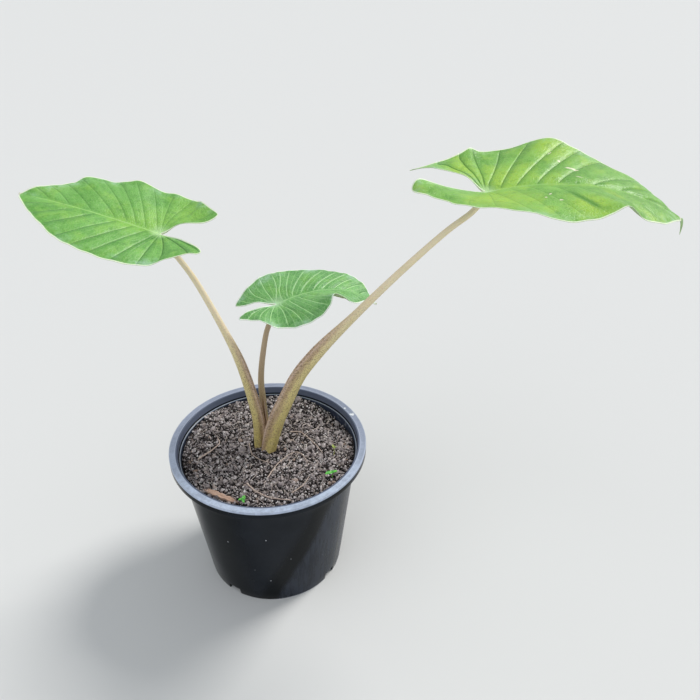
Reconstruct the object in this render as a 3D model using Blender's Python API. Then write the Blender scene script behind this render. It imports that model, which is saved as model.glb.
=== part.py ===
"""A potted colocasia: three arrow-shaped leaves on channelled stalks in a round nursery pot.

The frame is in metres with +Z up. The origin is the centre of the pot's underside.
"""

import math

import bmesh
import bpy
import numpy as np
from mathutils import Vector, noise
from mathutils.bvhtree import BVHTree

MM = 0.001
GAP = 0.3 * MM
UP = np.array([0.0, 0.0, 1.0])

# Pot
ROUND_SIDES = 60
POT_HEIGHT = 0.158
RIM_RADIUS = 0.100
RIM_BAND = 0.008
LIP_HEIGHT = 0.0085
LIP_THICKNESS = 0.0016
EDGE_ROUNDING = 0.0008
WALL_THICKNESS = 0.0015
BASE_RADIUS = 0.072
SHOULDER_HEIGHT = 0.141
SHOULDER_RADIUS = 0.0895
COLLAR_STEP = 0.0018
LEDGE_HEIGHT = 0.1500
FLOOR_THICKNESS = 0.002
FOOT_HEIGHT = 0.0035
FOOT_WIDTH = 0.0040
PAD_RADIUS = 0.016
DRAIN_ANGLES = [-33.0, 57.0, 147.0, 237.0]
DRAIN_WIDTH = 0.014
DRAIN_DEPTH = 0.009
DRAIN_HEIGHT = 0.0075

# Soil, with the plain hole that the rootstock and the stalks stand in
SOIL_HEIGHT = 0.147
SOIL_RINGS = 12
SOIL_WALL_CLEARANCE = 0.0006
LUMP_HEIGHT = 0.0013
LUMP_SIZE = 0.009
HOLE_CENTRE = (-0.003, 0.004)
HOLE_RADIUS = 0.0172
HOLE_FLOOR = 0.108
# Rises and dips of the soil: x, y, height and spread, in millimetres
SOIL_MOUNDS = [
    (-58, 42, 3.5, 26),
    (10, 80, 2.5, 25),
    (68, 45, -7.0, 22),
    (20, -62, 1.5, 30),
    (-62, -30, -1.5, 24),
]

# Rootstock
ROOTSTOCK_TOP = 0.1415
ROOTSTOCK_RADIUS = 0.0158
ROOTSTOCK_RINGS = 10

# Leaf blades
BLADE_THICKNESS = 0.0009
RIB_DEPTH = 0.0016
VEIN_DEPTH = 0.0005
FRONT_ROWS = 12
LOBE_ROWS = 10
COLUMNS = 6
# Outline stations: 0 is the tip, 7 is the widest part, 12 the lobe's tip, 15 the attachment
WIDEST = 7
LOBE_TIP = 12
ATTACHMENT = 15

# Each outline runs from the tip to the attachment: along, across and rise, in millimetres.
# Both ends lie on the rib and are added by the code.
LEAVES = {
    "left": {
        "attachment": (-0.085, 0.025, 0.378),
        "length": 0.128,
        "half_width": 0.060,
        "lobe_length": 0.046,
        "heading": 176,
        "pitch": 20,
        "roll": -5,
        "droop": 13,
        "bend": -5,
        "twist": -4,
        "sides": {
            1: {
                "fold": 10,
                "curl": -11,
                "lobe_lift": 23,
                "outline": [
                    (123, 9, 1), (109, 23, -2), (93, 37, -2), (76, 49, -4), (59, 56, -4),
                    (39, 60, -4), (20, 61, -3), (-2, 57, -1), (-18, 51, 6), (-33, 43, 9),
                    (-43, 33, 5), (-45, 27, 3), (-39, 20, 5), (-21, 11, 6),
                ],
            },
            -1: {
                "fold": 12,
                "curl": -10,
                "lobe_lift": 42,
                "outline": [
                    (118, 10, 2), (104, 25, -3), (94, 36, -5), (83, 45, -1), (61, 54, -5),
                    (39, 60, 1), (18, 60, -2), (1, 57, 3), (-18, 52, 4), (-31, 44, 7),
                    (-44, 35, 3), (-49, 29, -1), (-39, 19, 1), (-16, 12, 6),
                ],
            },
        },
    },
    "centre": {
        "attachment": (0.012, 0.045, 0.294),
        "length": 0.111,
        "half_width": 0.046,
        "lobe_length": 0.037,
        "heading": 16,
        "pitch": 21,
        "roll": 1,
        "droop": 71,
        "bend": 0,
        "twist": -9,
        "sides": {
            1: {
                "fold": 13,
                "curl": -9,
                "lobe_lift": 25,
                "outline": [
                    (102, 9, 2), (95, 17, 5), (83, 27, 4), (71, 34, 0), (55, 40, -3),
                    (40, 43, -4), (26, 44, -2), (11, 43, 2), (-5, 40, 6), (-22, 32, 5),
                    (-32, 26, 0), (-38, 19, -5), (-32, 14, -3), (-17, 9, 2),
                ],
            },
            -1: {
                "fold": 10,
                "curl": -10,
                "lobe_lift": 52,
                "outline": [
                    (104, 5, -1), (90, 14, -3), (74, 26, -5), (61, 33, 2), (49, 39, 11),
                    (43, 47, 3), (31, 48, -6), (11, 45, -9), (-6, 38, -5), (-21, 36, 4),
                    (-33, 25, -2), (-40, 20, -6), (-34, 14, 2), (-18, 9, 6),
                ],
            },
        },
    },
    "right": {
        "attachment": (0.195, 0.0, 0.428),
        "length": 0.169,
        "half_width": 0.074,
        "lobe_length": 0.056,
        "heading": -5,
        "pitch": 14,
        "roll": -9,
        "droop": 47,
        "bend": 9,
        "twist": 6,
        "sides": {
            1: {
                "fold": 14,
                "curl": 0,
                "lobe_lift": 53,
                "outline": [
                    (162, 9, -2), (146, 26, -3), (128, 43, -4), (107, 58, -6), (83, 65, 0),
                    (59, 73, 6), (31, 74, 0), (8, 70, 2), (-13, 64, 10), (-31, 54, 6),
                    (-49, 43, -3), (-62, 32, -18), (-49, 25, -1), (-19, 16, 7),
                ],
            },
            -1: {
                "fold": 5,
                "curl": -14,
                "lobe_lift": 29,
                "outline": [
                    (163, 9, -2), (142, 32, -8), (120, 42, -8), (100, 59, 3), (81, 69, -5),
                    (56, 75, -7), (34, 74, -1), (11, 70, 4), (-10, 65, 7), (-32, 51, 6),
                    (-48, 43, 6), (-61, 32, 3), (-58, 24, 12), (-31, 14, 8),
                ],
            },
        },
    },
}

# Leaf stalks: path points in millimetres from the rootstock up to just below the blade
STALK_SIDES = 20
STALK_BASE = ROOTSTOCK_TOP + GAP
STALK_TOP_RADIUS = 0.0025
# How fast a stalk thins upwards: 1 is even, more is faster near the foot
STALK_TAPER = 1.4
# How open the sheath is at the foot, and the shares over which it opens and closes
SHEATH_AT_FOOT = 0.3
SHEATH_SPREAD = 0.08
SHEATH_CLOSE = 0.07
# How much lower the sheath's edges are at its upper end
SHEATH_LOWERING = 0.45
# Angle in radians from the middle of the channel to each edge, and the edge's width
WING_ANGLE = 0.38
WING_WIDTH = 0.18
CHANNEL_DEPTH = 0.30
CHANNEL_WIDTH = 0.20
STALKS = {
    "left": {
        "path": [
            (-10, 5.5, 150), (-10.2, 6, 181), (-13.9, 8, 205), (-22.6, 11.5, 244),
            (-34.4, 15.5, 278.5), (-55.8, 20.5, 328), (-72.5, 24, 356),
        ],
        "base_radius": 0.0056,
        "wing": 0.0027,
        "sheath_end": 0.56,
        "inner_side": (1.0, -0.1),
        "rings": 22,
    },
    "centre": {
        "path": [
            (-1, 13.5, 150), (-4, 16, 178), (-5, 20, 198), (-6, 26, 218), (-3, 32, 244), (3, 39, 271),
        ],
        "base_radius": 0.0041,
        "wing": 0.0012,
        "sheath_end": 0.40,
        "inner_side": (0.1, -1.0),
        "rings": 16,
    },
    "right": {
        "path": [
            (1.5, -3.5, 150), (5.5, -3.5, 165), (12.9, -3, 188.4), (23.3, -3, 213.6),
            (33.5, -2.5, 236.5), (46, -2, 256.5), (73, -2, 291.8), (116.8, -1, 341.8),
            (161.2, -0.5, 388.2), (184, 0, 408), (192, 0, 418),
        ],
        "base_radius": 0.0066,
        "wing": 0.0052,
        "sheath_end": 0.53,
        "inner_side": (-1.0, 0.0),
        "rings": 30,
    },
}

# Fine roots on the soil: plan points in millimetres
ROOT_SIDES = 6
ROOT_STEP = 0.005
ROOTS = {
    "root_front": {"radius": 0.0008, "plan": [(-17, -51), (-7, -63), (8, -72), (30, -76)]},
    "root_right": {"radius": 0.0006, "plan": [(20, 25), (30, 26), (42, 14), (56, -7)]},
    "root_base": {"radius": 0.0006, "plan": [(-21, 7), (-16, -9), (-7, -18), (4, -22)]},
    "root_loop": {"radius": 0.0006, "plan": [(3, -44), (11, -24), (24, -8), (34, -9), (42, -24)]},
    "root_left": {"radius": 0.0009, "plan": [(-70, -16), (-60, -5), (-52, 6), (-55, 16)]},
    "root_corner": {"radius": 0.0006, "plan": [(28, -66), (38, -55), (44, -42)]},
}

# Small pieces on the soil
BARK_PLACE = (-0.040, -0.069)
BARK_SIZE = (0.030, 0.0055, 0.0018)
BARK_TURN = -27.0
SEEDLINGS = {
    "seedling_right": {"place": (0.066, -0.042), "height": 0.007, "leaf": 0.0032, "turn": 20.0},
    "seedling_front": {"place": (-0.018, -0.076), "height": 0.005, "leaf": 0.0026, "turn": 75.0},
    "seedling_sprig": {"place": (0.067, -0.009), "height": 0.010, "leaf": 0.0020, "turn": 130.0},
}


def clear_scene():
    """Remove every object that the file starts with."""
    for obj in list(bpy.data.objects):
        bpy.data.objects.remove(obj, do_unlink=True)


def make_material(name, colour, roughness):
    """Return a plain Principled material."""
    material = bpy.data.materials.new(name)
    material.use_nodes = True
    shader = material.node_tree.nodes["Principled BSDF"]
    shader.inputs["Base Color"].default_value = (*colour, 1.0)
    shader.inputs["Roughness"].default_value = roughness
    shader.inputs["Metallic"].default_value = 0.0
    return material


def add_object(name, mesh_builder, material, sharp_angle=35.0):
    """Turn a bmesh into a named object with smooth rounds."""
    bmesh.ops.recalc_face_normals(mesh_builder, faces=mesh_builder.faces[:])
    mesh = bpy.data.meshes.new(name)
    mesh_builder.to_mesh(mesh)
    mesh_builder.free()
    mesh.materials.append(material)
    mesh.shade_smooth()
    mesh.set_sharp_from_angle(angle=math.radians(sharp_angle))
    obj = bpy.data.objects.new(name, mesh)
    bpy.context.collection.objects.link(obj)
    return obj


def add_modifier(obj, kind, **settings):
    """Add a modifier and set its values."""
    modifier = obj.modifiers.new(kind.title(), kind)
    for key, value in settings.items():
        setattr(modifier, key, value)
    return modifier


def cut_with(obj, cutter, operation="DIFFERENCE"):
    """Boolean one object with a hidden helper object."""
    cutter.hide_render = True
    cutter.display_type = "WIRE"
    add_modifier(obj, "BOOLEAN", object=cutter, operation=operation, solver="EXACT")


def smooth_curve(points, stations):
    """Read a Catmull-Rom curve through the points at stations counted in points."""
    points = np.asarray(points, dtype=float)
    first = 2.0 * points[0] - points[1]
    last = 2.0 * points[-1] - points[-2]
    padded = np.vstack([first, points, last])
    stations = np.atleast_1d(stations)
    index = np.clip(stations.astype(int), 0, len(points) - 2)
    t = (stations - index)[:, None]
    before, start, end, after = (padded[index + shift] for shift in range(4))
    linear = (end - before) * t
    square = (2.0 * before - 5.0 * start + 4.0 * end - after) * t**2
    cube = (3.0 * start - before - 3.0 * end + after) * t**3
    return start + 0.5 * (linear + square + cube)


def even_stations(points, count):
    """Return stations that are evenly spaced along the smooth curve."""
    fine = np.linspace(0.0, len(points) - 1.0, 40 * len(points))
    curve = smooth_curve(points, fine)
    steps = np.linalg.norm(np.diff(curve, axis=0), axis=1)
    run = np.concatenate([[0.0], np.cumsum(steps)])
    return np.interp(np.linspace(0.0, run[-1], count), run, fine)


def skin_rings(rings, start_point=None, end_point=None):
    """Join closed rings of equal size into one closed body."""
    builder = bmesh.new()
    loops = [[builder.verts.new(point) for point in ring] for ring in rings]
    count = len(loops[0])
    for lower, upper in zip(loops, loops[1:]):
        for i in range(count):
            j = (i + 1) % count
            builder.faces.new((lower[i], lower[j], upper[j], upper[i]))
    for loop, point in ((loops[0], start_point), (loops[-1], end_point)):
        if point is None:
            builder.faces.new(loop)
            continue
        centre = builder.verts.new(point)
        for i in range(count):
            builder.faces.new((loop[i], loop[(i + 1) % count], centre))
    return builder


def circle(radius, height, centre=(0.0, 0.0)):
    """Return the points of a level ring."""
    angles = np.arange(ROUND_SIDES) * 2.0 * math.pi / ROUND_SIDES
    x = centre[0] + radius * np.cos(angles)
    y = centre[1] + radius * np.sin(angles)
    return np.stack([x, y, np.full(ROUND_SIDES, height)], axis=1)


def wall_radius_inside(height):
    """Inner radius of the pot's wall below the ledge."""
    floor_top = FOOT_HEIGHT + FLOOR_THICKNESS
    low = BASE_RADIUS - WALL_THICKNESS
    high = SHOULDER_RADIUS - WALL_THICKNESS
    share = (height - floor_top) / (SHOULDER_HEIGHT - floor_top)
    return low + (high - low) * share


def pot_profile():
    """Return the pot's section as radius and height, from under the centre to inside it."""
    rim_inner = RIM_RADIUS - RIM_BAND
    lip_inner = RIM_RADIUS - LIP_THICKNESS
    collar_foot = SHOULDER_RADIUS + COLLAR_STEP
    collar_top = rim_inner + WALL_THICKNESS
    under_rim = POT_HEIGHT - LIP_THICKNESS
    lip_foot = POT_HEIGHT - LIP_HEIGHT
    floor_top = FOOT_HEIGHT + FLOOR_THICKNESS
    foot_inner = BASE_RADIUS - FOOT_WIDTH
    return [
        (PAD_RADIUS, 0.0),
        (PAD_RADIUS + EDGE_ROUNDING, FOOT_HEIGHT),
        (foot_inner - EDGE_ROUNDING, FOOT_HEIGHT),
        (foot_inner, 0.0),
        (BASE_RADIUS - EDGE_ROUNDING, 0.0),
        (BASE_RADIUS, EDGE_ROUNDING),
        (SHOULDER_RADIUS, SHOULDER_HEIGHT),
        (collar_foot, SHOULDER_HEIGHT + COLLAR_STEP),
        (collar_top, under_rim),
        (lip_inner, under_rim),
        (lip_inner, lip_foot),
        (RIM_RADIUS, lip_foot),
        (RIM_RADIUS, POT_HEIGHT - EDGE_ROUNDING),
        (RIM_RADIUS - EDGE_ROUNDING, POT_HEIGHT),
        (rim_inner + EDGE_ROUNDING, POT_HEIGHT),
        (rim_inner, POT_HEIGHT - EDGE_ROUNDING),
        (rim_inner - EDGE_ROUNDING, LEDGE_HEIGHT),
        (wall_radius_inside(LEDGE_HEIGHT), LEDGE_HEIGHT - EDGE_ROUNDING),
        (wall_radius_inside(floor_top), floor_top),
    ]


def build_pot():
    """Nursery pot with a skirted rim, a stacking ledge, a foot ring and drain slots."""
    profile = pot_profile()
    rings = [circle(radius, height) for radius, height in profile]
    floor_top = profile[-1][1]
    builder = skin_rings(rings, (0.0, 0.0, 0.0), (0.0, 0.0, floor_top))
    pot = add_object("pot", builder, make_material("pot_plastic", (0.02, 0.021, 0.024), 0.32))
    for number, angle in enumerate(DRAIN_ANGLES):
        cutter_builder = bmesh.new()
        bmesh.ops.create_cube(cutter_builder, size=1.0)
        size = Vector((DRAIN_DEPTH * 2.0, DRAIN_WIDTH, DRAIN_HEIGHT * 2.0))
        bmesh.ops.scale(cutter_builder, vec=size, verts=cutter_builder.verts[:])
        cutter = add_object(f"drain_cutter_{number}", cutter_builder, pot.data.materials[0])
        turn = math.radians(angle)
        cutter.location = (BASE_RADIUS * math.cos(turn), BASE_RADIUS * math.sin(turn), 0.0)
        cutter.rotation_euler = (0.0, 0.0, turn)
        cut_with(pot, cutter)
    return pot


def soil_height(x, y):
    """Height of the soil's uneven top."""
    height = SOIL_HEIGHT
    for mound_x, mound_y, rise, spread in SOIL_MOUNDS:
        distance = math.hypot(x - mound_x * MM, y - mound_y * MM)
        height += rise * MM * math.exp(-((distance / (spread * MM)) ** 2))
    place = Vector((x, y, 0.0)) / LUMP_SIZE
    return height + LUMP_HEIGHT * noise.noise(place) + 0.5 * LUMP_HEIGHT * noise.noise(2.3 * place)


def build_soil():
    """Potting mix that fills the pot, with one plain hole for the plant."""
    floor = FOOT_HEIGHT + FLOOR_THICKNESS + GAP
    hole = circle(HOLE_RADIUS, 0.0, HOLE_CENTRE)
    edge = circle(1.0, 0.0)
    for point in edge:
        x, y = point[:2] * wall_radius_inside(SOIL_HEIGHT)
        point[:2] *= wall_radius_inside(soil_height(x, y)) - SOIL_WALL_CLEARANCE
    rings = [circle(HOLE_RADIUS, HOLE_FLOOR, HOLE_CENTRE)]
    for step in range(SOIL_RINGS + 1):
        ring = hole + (edge - hole) * step / SOIL_RINGS
        ring[:, 2] = [soil_height(x, y) for x, y, _ in ring]
        rings.append(ring)
    rings.append(circle(wall_radius_inside(floor) - SOIL_WALL_CLEARANCE, floor))
    builder = skin_rings(rings, (*HOLE_CENTRE, HOLE_FLOOR), (0.0, 0.0, floor))
    return add_object("soil", builder, make_material("potting_mix", (0.16, 0.13, 0.115), 0.95), 50.0)


def build_rootstock():
    """Short ringed rootstock in the soil, which the stalks stand on."""
    low = HOLE_FLOOR + GAP
    rings = []
    for step in range(ROOTSTOCK_RINGS + 1):
        share = step / ROOTSTOCK_RINGS
        swell = 0.72 + 0.28 * math.sin(math.pi * min(1.0, 0.25 + share))
        scar = 0.03 * (step % 2)
        radius = ROOTSTOCK_RADIUS * (swell - scar)
        rings.append(circle(radius, low + (ROOTSTOCK_TOP - low) * share, HOLE_CENTRE)[::4])
    builder = skin_rings(rings)
    return add_object("rootstock", builder, make_material("rootstock_skin", (0.20, 0.11, 0.07), 0.8))


def unit(vector):
    """Return the vector at length one."""
    return vector / np.linalg.norm(vector)


def leaf_axes(leaf):
    """Return the blade's forward, leftward and upward directions at the attachment."""
    heading, pitch, roll = (math.radians(leaf[key]) for key in ("heading", "pitch", "roll"))
    flat = np.array([math.cos(heading), math.sin(heading), 0.0])
    level_side = np.array([-math.sin(heading), math.cos(heading), 0.0])
    forward = math.cos(pitch) * flat + math.sin(pitch) * UP
    level_up = np.cross(forward, level_side)
    side = math.cos(roll) * level_side + math.sin(roll) * level_up
    upward = math.cos(roll) * level_up - math.sin(roll) * level_side
    return forward, side, upward


def rib_frames(leaf, half, along):
    """Place points of the rib and its two cross directions, also behind the attachment."""
    forward, side, upward = leaf_axes(leaf)
    reach = np.linspace(0.0, 1.0, 41)
    if along >= 0.0:
        share = along / leaf["length"]
        pitch = -math.radians(leaf["droop"]) * (share * reach) ** 1.3
        yaw = math.radians(leaf["bend"]) * (share * reach) ** 1.3
        twist = math.radians(leaf["twist"]) * share**1.3
    else:
        share = -along / leaf["lobe_length"]
        pitch = -math.radians(half["lobe_lift"]) * share * reach
        yaw = 0.0 * reach
        twist = 0.0
    level = np.cos(yaw)[:, None] * forward + np.sin(yaw)[:, None] * side
    run = np.cos(pitch)[:, None] * level + np.sin(pitch)[:, None] * upward
    centre = along * 0.5 * (run[1:] + run[:-1]).mean(axis=0)
    across = math.cos(yaw[-1]) * side - math.sin(yaw[-1]) * forward
    normal = math.cos(pitch[-1]) * upward - math.sin(pitch[-1]) * forward
    turned_across = math.cos(twist) * across + math.sin(twist) * normal
    turned_normal = math.cos(twist) * normal - math.sin(twist) * across
    return centre, turned_across, turned_normal


def blade_point(leaf, hand, along, across, rise):
    """Bend one flat blade point into its place; hand is 1 for the left half."""
    half = leaf["sides"][hand]
    centre, side, normal = rib_frames(leaf, half, along)
    fold = math.radians(half["fold"])
    bend = math.radians(half["curl"]) / leaf["half_width"] + 1e-9
    angle = fold + bend * across
    outward = (math.sin(angle) - math.sin(fold)) / bend
    lift = (math.cos(fold) - math.cos(angle)) / bend
    return np.array(leaf["attachment"]) + centre + hand * outward * side + (lift + rise) * normal


def half_rows(leaf, hand):
    """Return flat rows of one half blade, each row a vein from the rib to the margin."""
    start = (leaf["length"] / MM, 0, 0)
    outline = np.array([start, *leaf["sides"][hand]["outline"], (0, 0, 0)]) * MM
    fractions = np.linspace(0.0, 1.0, COLUMNS + 1)[:, None]
    rows = []
    for row in range(FRONT_ROWS + 1):
        station = WIDEST * row / FRONT_ROWS
        margin = smooth_curve(outline, station)[0]
        rib_start = leaf["length"] * (1.0 - row / FRONT_ROWS)
        rows.append(vein_row(rib_start, margin, fractions))
    sinus = smooth_curve(outline, ATTACHMENT - (ATTACHMENT - LOBE_TIP) * fractions[:, 0])
    sinus_bow = sinus - vein_row(0.0, sinus[-1], fractions)
    for row in range(1, LOBE_ROWS + 1):
        share = row / LOBE_ROWS
        margin = smooth_curve(outline, WIDEST + (LOBE_TIP - WIDEST) * share)[0]
        rows.append(vein_row(0.0, margin, fractions) + share**1.5 * sinus_bow)
    for number, row in enumerate(rows[:-1]):
        depth = VEIN_DEPTH if number % 2 else -VEIN_DEPTH
        depth *= row[-1][1] / leaf["half_width"]
        row[:, 2] += depth * np.sin(math.pi * fractions[:, 0])
    return rows


def vein_row(rib_start, margin, fractions):
    """Return one row: it leaves the rib steeply and turns toward the tip."""
    along = rib_start + (margin[0] - rib_start) * fractions**1.2
    across = margin[1] * fractions
    rise = margin[2] * fractions**2
    return np.hstack([along, across, rise])


def build_blade(name, leaf):
    """Arrow-shaped blade with waved margins, impressed veins and a rib below."""
    builder = bmesh.new()
    rib_weights = []
    for hand in (1, -1):
        grid = []
        for row in half_rows(leaf, hand):
            points = [blade_point(leaf, hand, *point) for point in row]
            grid.append([builder.verts.new(point) for point in points])
            weight = max(0.0, 1.0 - row[0][0] / leaf["length"])
            rib_weights.append((points[0], weight))
        for lower, upper in zip(grid, grid[1:]):
            for i in range(COLUMNS):
                corners = (lower[i], lower[i + 1], upper[i + 1], upper[i])
                builder.faces.new(corners if hand == -1 else corners[::-1])
    bmesh.ops.remove_doubles(builder, verts=builder.verts[:], dist=0.01 * MM)
    bmesh.ops.dissolve_degenerate(builder, dist=0.01 * MM, edges=builder.edges[:])
    bmesh.ops.triangulate(builder, faces=builder.faces[:])
    colour = (0.17, 0.42, 0.08) if name != "blade_centre" else (0.12, 0.36, 0.11)
    blade = add_object(name, builder, make_material(f"{name}_green", colour, 0.42), 60.0)
    rib = blade.vertex_groups.new(name="rib")
    for vertex in blade.data.vertices:
        for point, weight in rib_weights:
            if np.linalg.norm(np.array(vertex.co) - point) < 0.05 * MM:
                rib.add([vertex.index], weight, "REPLACE")
    full = BLADE_THICKNESS + RIB_DEPTH
    add_modifier(
        blade,
        "SOLIDIFY",
        thickness=full,
        offset=-1.0,
        vertex_group="rib",
        thickness_vertex_group=BLADE_THICKNESS / full,
    )
    return blade


def stalk_section(radius, wing, sheath):
    """Return a stalk's section as angle and radius; the channel faces angle zero."""
    angles = np.arange(STALK_SIDES) * 2.0 * math.pi / STALK_SIDES
    from_inner = np.abs(np.angle(np.exp(1j * angles)))
    channel = CHANNEL_DEPTH * radius * np.exp(-((from_inner / CHANNEL_WIDTH) ** 2))
    wings = wing * np.exp(-(((from_inner - WING_ANGLE) / WING_WIDTH) ** 2))
    return angles, radius + sheath * (wings - channel)


def stalk_end(leaf, last_point):
    """Return the stalk's upper end, just clear of the rib under the blade."""
    _, _, upward = leaf_axes(leaf)
    attachment = np.array(leaf["attachment"])
    run = unit(attachment - last_point)
    tilt = math.sqrt(1.0 - float(run @ upward) ** 2)
    drop = BLADE_THICKNESS + RIB_DEPTH + 2.0 * GAP + 1.3 * STALK_TOP_RADIUS * tilt
    return attachment - drop * upward


def build_stalk(name, stalk, leaf):
    """Leaf stalk with a channelled sheath on its inner side, round above it."""
    points = np.array(stalk["path"]) * MM
    base = np.array([points[0][0], points[0][1], STALK_BASE])
    path = np.vstack([base, points, stalk_end(leaf, points[-1])])
    stations = even_stations(path, stalk["rings"])
    centres = smooth_curve(path, stations)
    inner = np.array([*stalk["inner_side"], 0.0])
    rings = []
    for number, centre in enumerate(centres):
        share = number / (len(centres) - 1)
        ahead = centres[min(number + 1, len(centres) - 1)]
        behind = centres[max(number - 1, 0)]
        run = UP if number < 2 else unit(ahead - behind)
        facing = unit(inner - (inner @ run) * run)
        side = np.cross(run, facing)
        taper = (1.0 - share) ** STALK_TAPER
        radius = STALK_TOP_RADIUS + (stalk["base_radius"] - STALK_TOP_RADIUS) * taper
        sheath = min(1.0, max(0.0, (stalk["sheath_end"] - share) / SHEATH_CLOSE))
        opened = SHEATH_AT_FOOT + (1.0 - SHEATH_AT_FOOT) * share / SHEATH_SPREAD
        sheath *= min(1.0, opened)
        sheath *= 1.0 - SHEATH_LOWERING * min(1.0, share / stalk["sheath_end"]) ** 2
        angles, radii = stalk_section(radius, stalk["wing"], sheath)
        spokes = np.cos(angles)[:, None] * facing + np.sin(angles)[:, None] * side
        rings.append(centre + radii[:, None] * spokes)
    colour = (0.48, 0.40, 0.17) if name != "stalk_centre" else (0.40, 0.33, 0.15)
    return add_object(name, skin_rings(rings), make_material(f"{name}_skin", colour, 0.5))


def ground_height(soil_tree, x, y, reach):
    """Highest soil around a point, within the given reach."""
    heights = [soil_height(x, y)]
    for angle in np.arange(8) * math.pi / 4.0:
        start = Vector((x + reach * math.cos(angle), y + reach * math.sin(angle), 0.2))
        hit = soil_tree.ray_cast(start, Vector((0.0, 0.0, -1.0)))
        if hit[0] is not None:
            heights.append(hit[0].z)
    return max(heights)


def build_root(name, root, soil_tree, material):
    """Thin root that lies along the soil."""
    plan = np.array(root["plan"], dtype=float) * MM
    length = np.linalg.norm(np.diff(plan, axis=0), axis=1).sum()
    count = max(6, round(length / ROOT_STEP))
    radius = root["radius"]
    centres = []
    for x, y in smooth_curve(plan, even_stations(plan, count)):
        height = ground_height(soil_tree, x, y, 0.7 * ROOT_STEP) + radius + GAP
        centres.append((x, y, height))
    centres = np.array(centres)
    angles = np.arange(ROOT_SIDES) * 2.0 * math.pi / ROOT_SIDES
    rings = []
    for number, centre in enumerate(centres):
        run = unit(centres[min(number + 1, count - 1)] - centres[max(number - 1, 0)])
        side = unit(np.cross(UP, run))
        top = np.cross(run, side)
        taper = 1.0 - 0.4 * number / count
        spokes = np.cos(angles)[:, None] * side + np.sin(angles)[:, None] * top
        rings.append(centre + radius * taper * spokes)
    return add_object(name, skin_rings(rings), material)


def build_bark(soil_tree):
    """Small strip of bark on the soil."""
    builder = bmesh.new()
    bmesh.ops.create_cube(builder, size=1.0)
    bmesh.ops.scale(builder, vec=Vector(BARK_SIZE), verts=builder.verts[:])
    bark = add_object("bark_strip", builder, make_material("bark", (0.55, 0.30, 0.16), 0.8))
    x, y = BARK_PLACE
    height = ground_height(soil_tree, x, y, 0.4 * BARK_SIZE[0]) + BARK_SIZE[2]
    bark.location = (x, y, height)
    bark.rotation_euler = (0.0, 0.0, math.radians(BARK_TURN))
    add_modifier(bark, "BEVEL", width=0.0005, segments=2)
    return bark


def build_seedling(name, seedling, soil_tree, material):
    """Tiny seedling: a stem with two oval leaves, joined in one body."""
    x, y = seedling["place"]
    height = seedling["height"]
    stem_radius = 0.0006
    base = ground_height(soil_tree, x, y, 0.0015) + GAP
    stem_builder = bmesh.new()
    bmesh.ops.create_cone(
        stem_builder,
        cap_ends=True,
        segments=8,
        radius1=stem_radius,
        radius2=stem_radius,
        depth=height,
    )
    seedling_obj = add_object(name, stem_builder, material)
    seedling_obj.location = (x, y, base + 0.5 * height)
    for number, way in enumerate((0.0, 180.0)):
        leaf_builder = bmesh.new()
        bmesh.ops.create_icosphere(leaf_builder, subdivisions=2, radius=1.0)
        size = Vector((seedling["leaf"], 0.6 * seedling["leaf"], 0.0006))
        bmesh.ops.scale(leaf_builder, vec=size, verts=leaf_builder.verts[:])
        shift = Vector((0.85 * seedling["leaf"], 0.0, 0.0))
        bmesh.ops.translate(leaf_builder, vec=shift, verts=leaf_builder.verts[:])
        leaf = add_object(f"{name}_leaf_helper_{number}", leaf_builder, material)
        leaf.location = (x, y, base + height - 0.0008)
        leaf.rotation_euler = (0.0, math.radians(-25.0), math.radians(seedling["turn"] + way))
        cut_with(seedling_obj, leaf, "UNION")
    return seedling_obj


def main():
    """Build the pot, the soil, the plant and the small things on the soil."""
    clear_scene()
    build_pot()
    soil = build_soil()
    build_rootstock()
    for side, stalk in STALKS.items():
        build_stalk(f"stalk_{side}", stalk, LEAVES[side])
    for side, leaf in LEAVES.items():
        build_blade(f"blade_{side}", leaf)
    soil_tree = BVHTree.FromPolygons(
        [vertex.co for vertex in soil.data.vertices],
        [polygon.vertices for polygon in soil.data.polygons],
    )
    root_skin = make_material("root_skin", (0.62, 0.47, 0.34), 0.7)
    for name, root in ROOTS.items():
        build_root(name, root, soil_tree, root_skin)
    build_bark(soil_tree)
    seedling_green = make_material("seedling_green", (0.16, 0.45, 0.10), 0.5)
    for name, seedling in SEEDLINGS.items():
        build_seedling(name, seedling, soil_tree, seedling_green)


main()
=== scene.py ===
"""Looks of a potted colocasia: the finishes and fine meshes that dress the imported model.

Metres, +Z up. The origin is the centre of the pot's underside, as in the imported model.
"""

import logging
import math
import sys
from collections.abc import Callable, Sequence
from dataclasses import dataclass
from enum import Enum
from typing import Union

import bpy
import numpy as np
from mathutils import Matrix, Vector, noise


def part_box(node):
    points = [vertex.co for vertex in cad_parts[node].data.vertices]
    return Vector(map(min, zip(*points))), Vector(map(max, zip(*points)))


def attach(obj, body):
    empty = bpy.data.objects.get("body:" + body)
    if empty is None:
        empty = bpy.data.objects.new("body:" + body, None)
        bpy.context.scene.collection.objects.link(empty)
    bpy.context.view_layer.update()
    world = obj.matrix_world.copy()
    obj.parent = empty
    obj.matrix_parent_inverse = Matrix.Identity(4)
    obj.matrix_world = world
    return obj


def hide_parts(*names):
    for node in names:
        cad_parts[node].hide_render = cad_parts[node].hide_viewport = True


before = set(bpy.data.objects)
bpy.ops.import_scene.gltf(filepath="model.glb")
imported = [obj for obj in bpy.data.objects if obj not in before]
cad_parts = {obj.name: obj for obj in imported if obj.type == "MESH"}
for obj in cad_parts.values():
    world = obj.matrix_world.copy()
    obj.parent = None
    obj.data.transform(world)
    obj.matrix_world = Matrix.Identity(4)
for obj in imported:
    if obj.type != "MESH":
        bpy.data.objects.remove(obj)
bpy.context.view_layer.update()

log = logging.getLogger("potted_colocasia")

MM = 0.001
BODY = "root"

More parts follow.
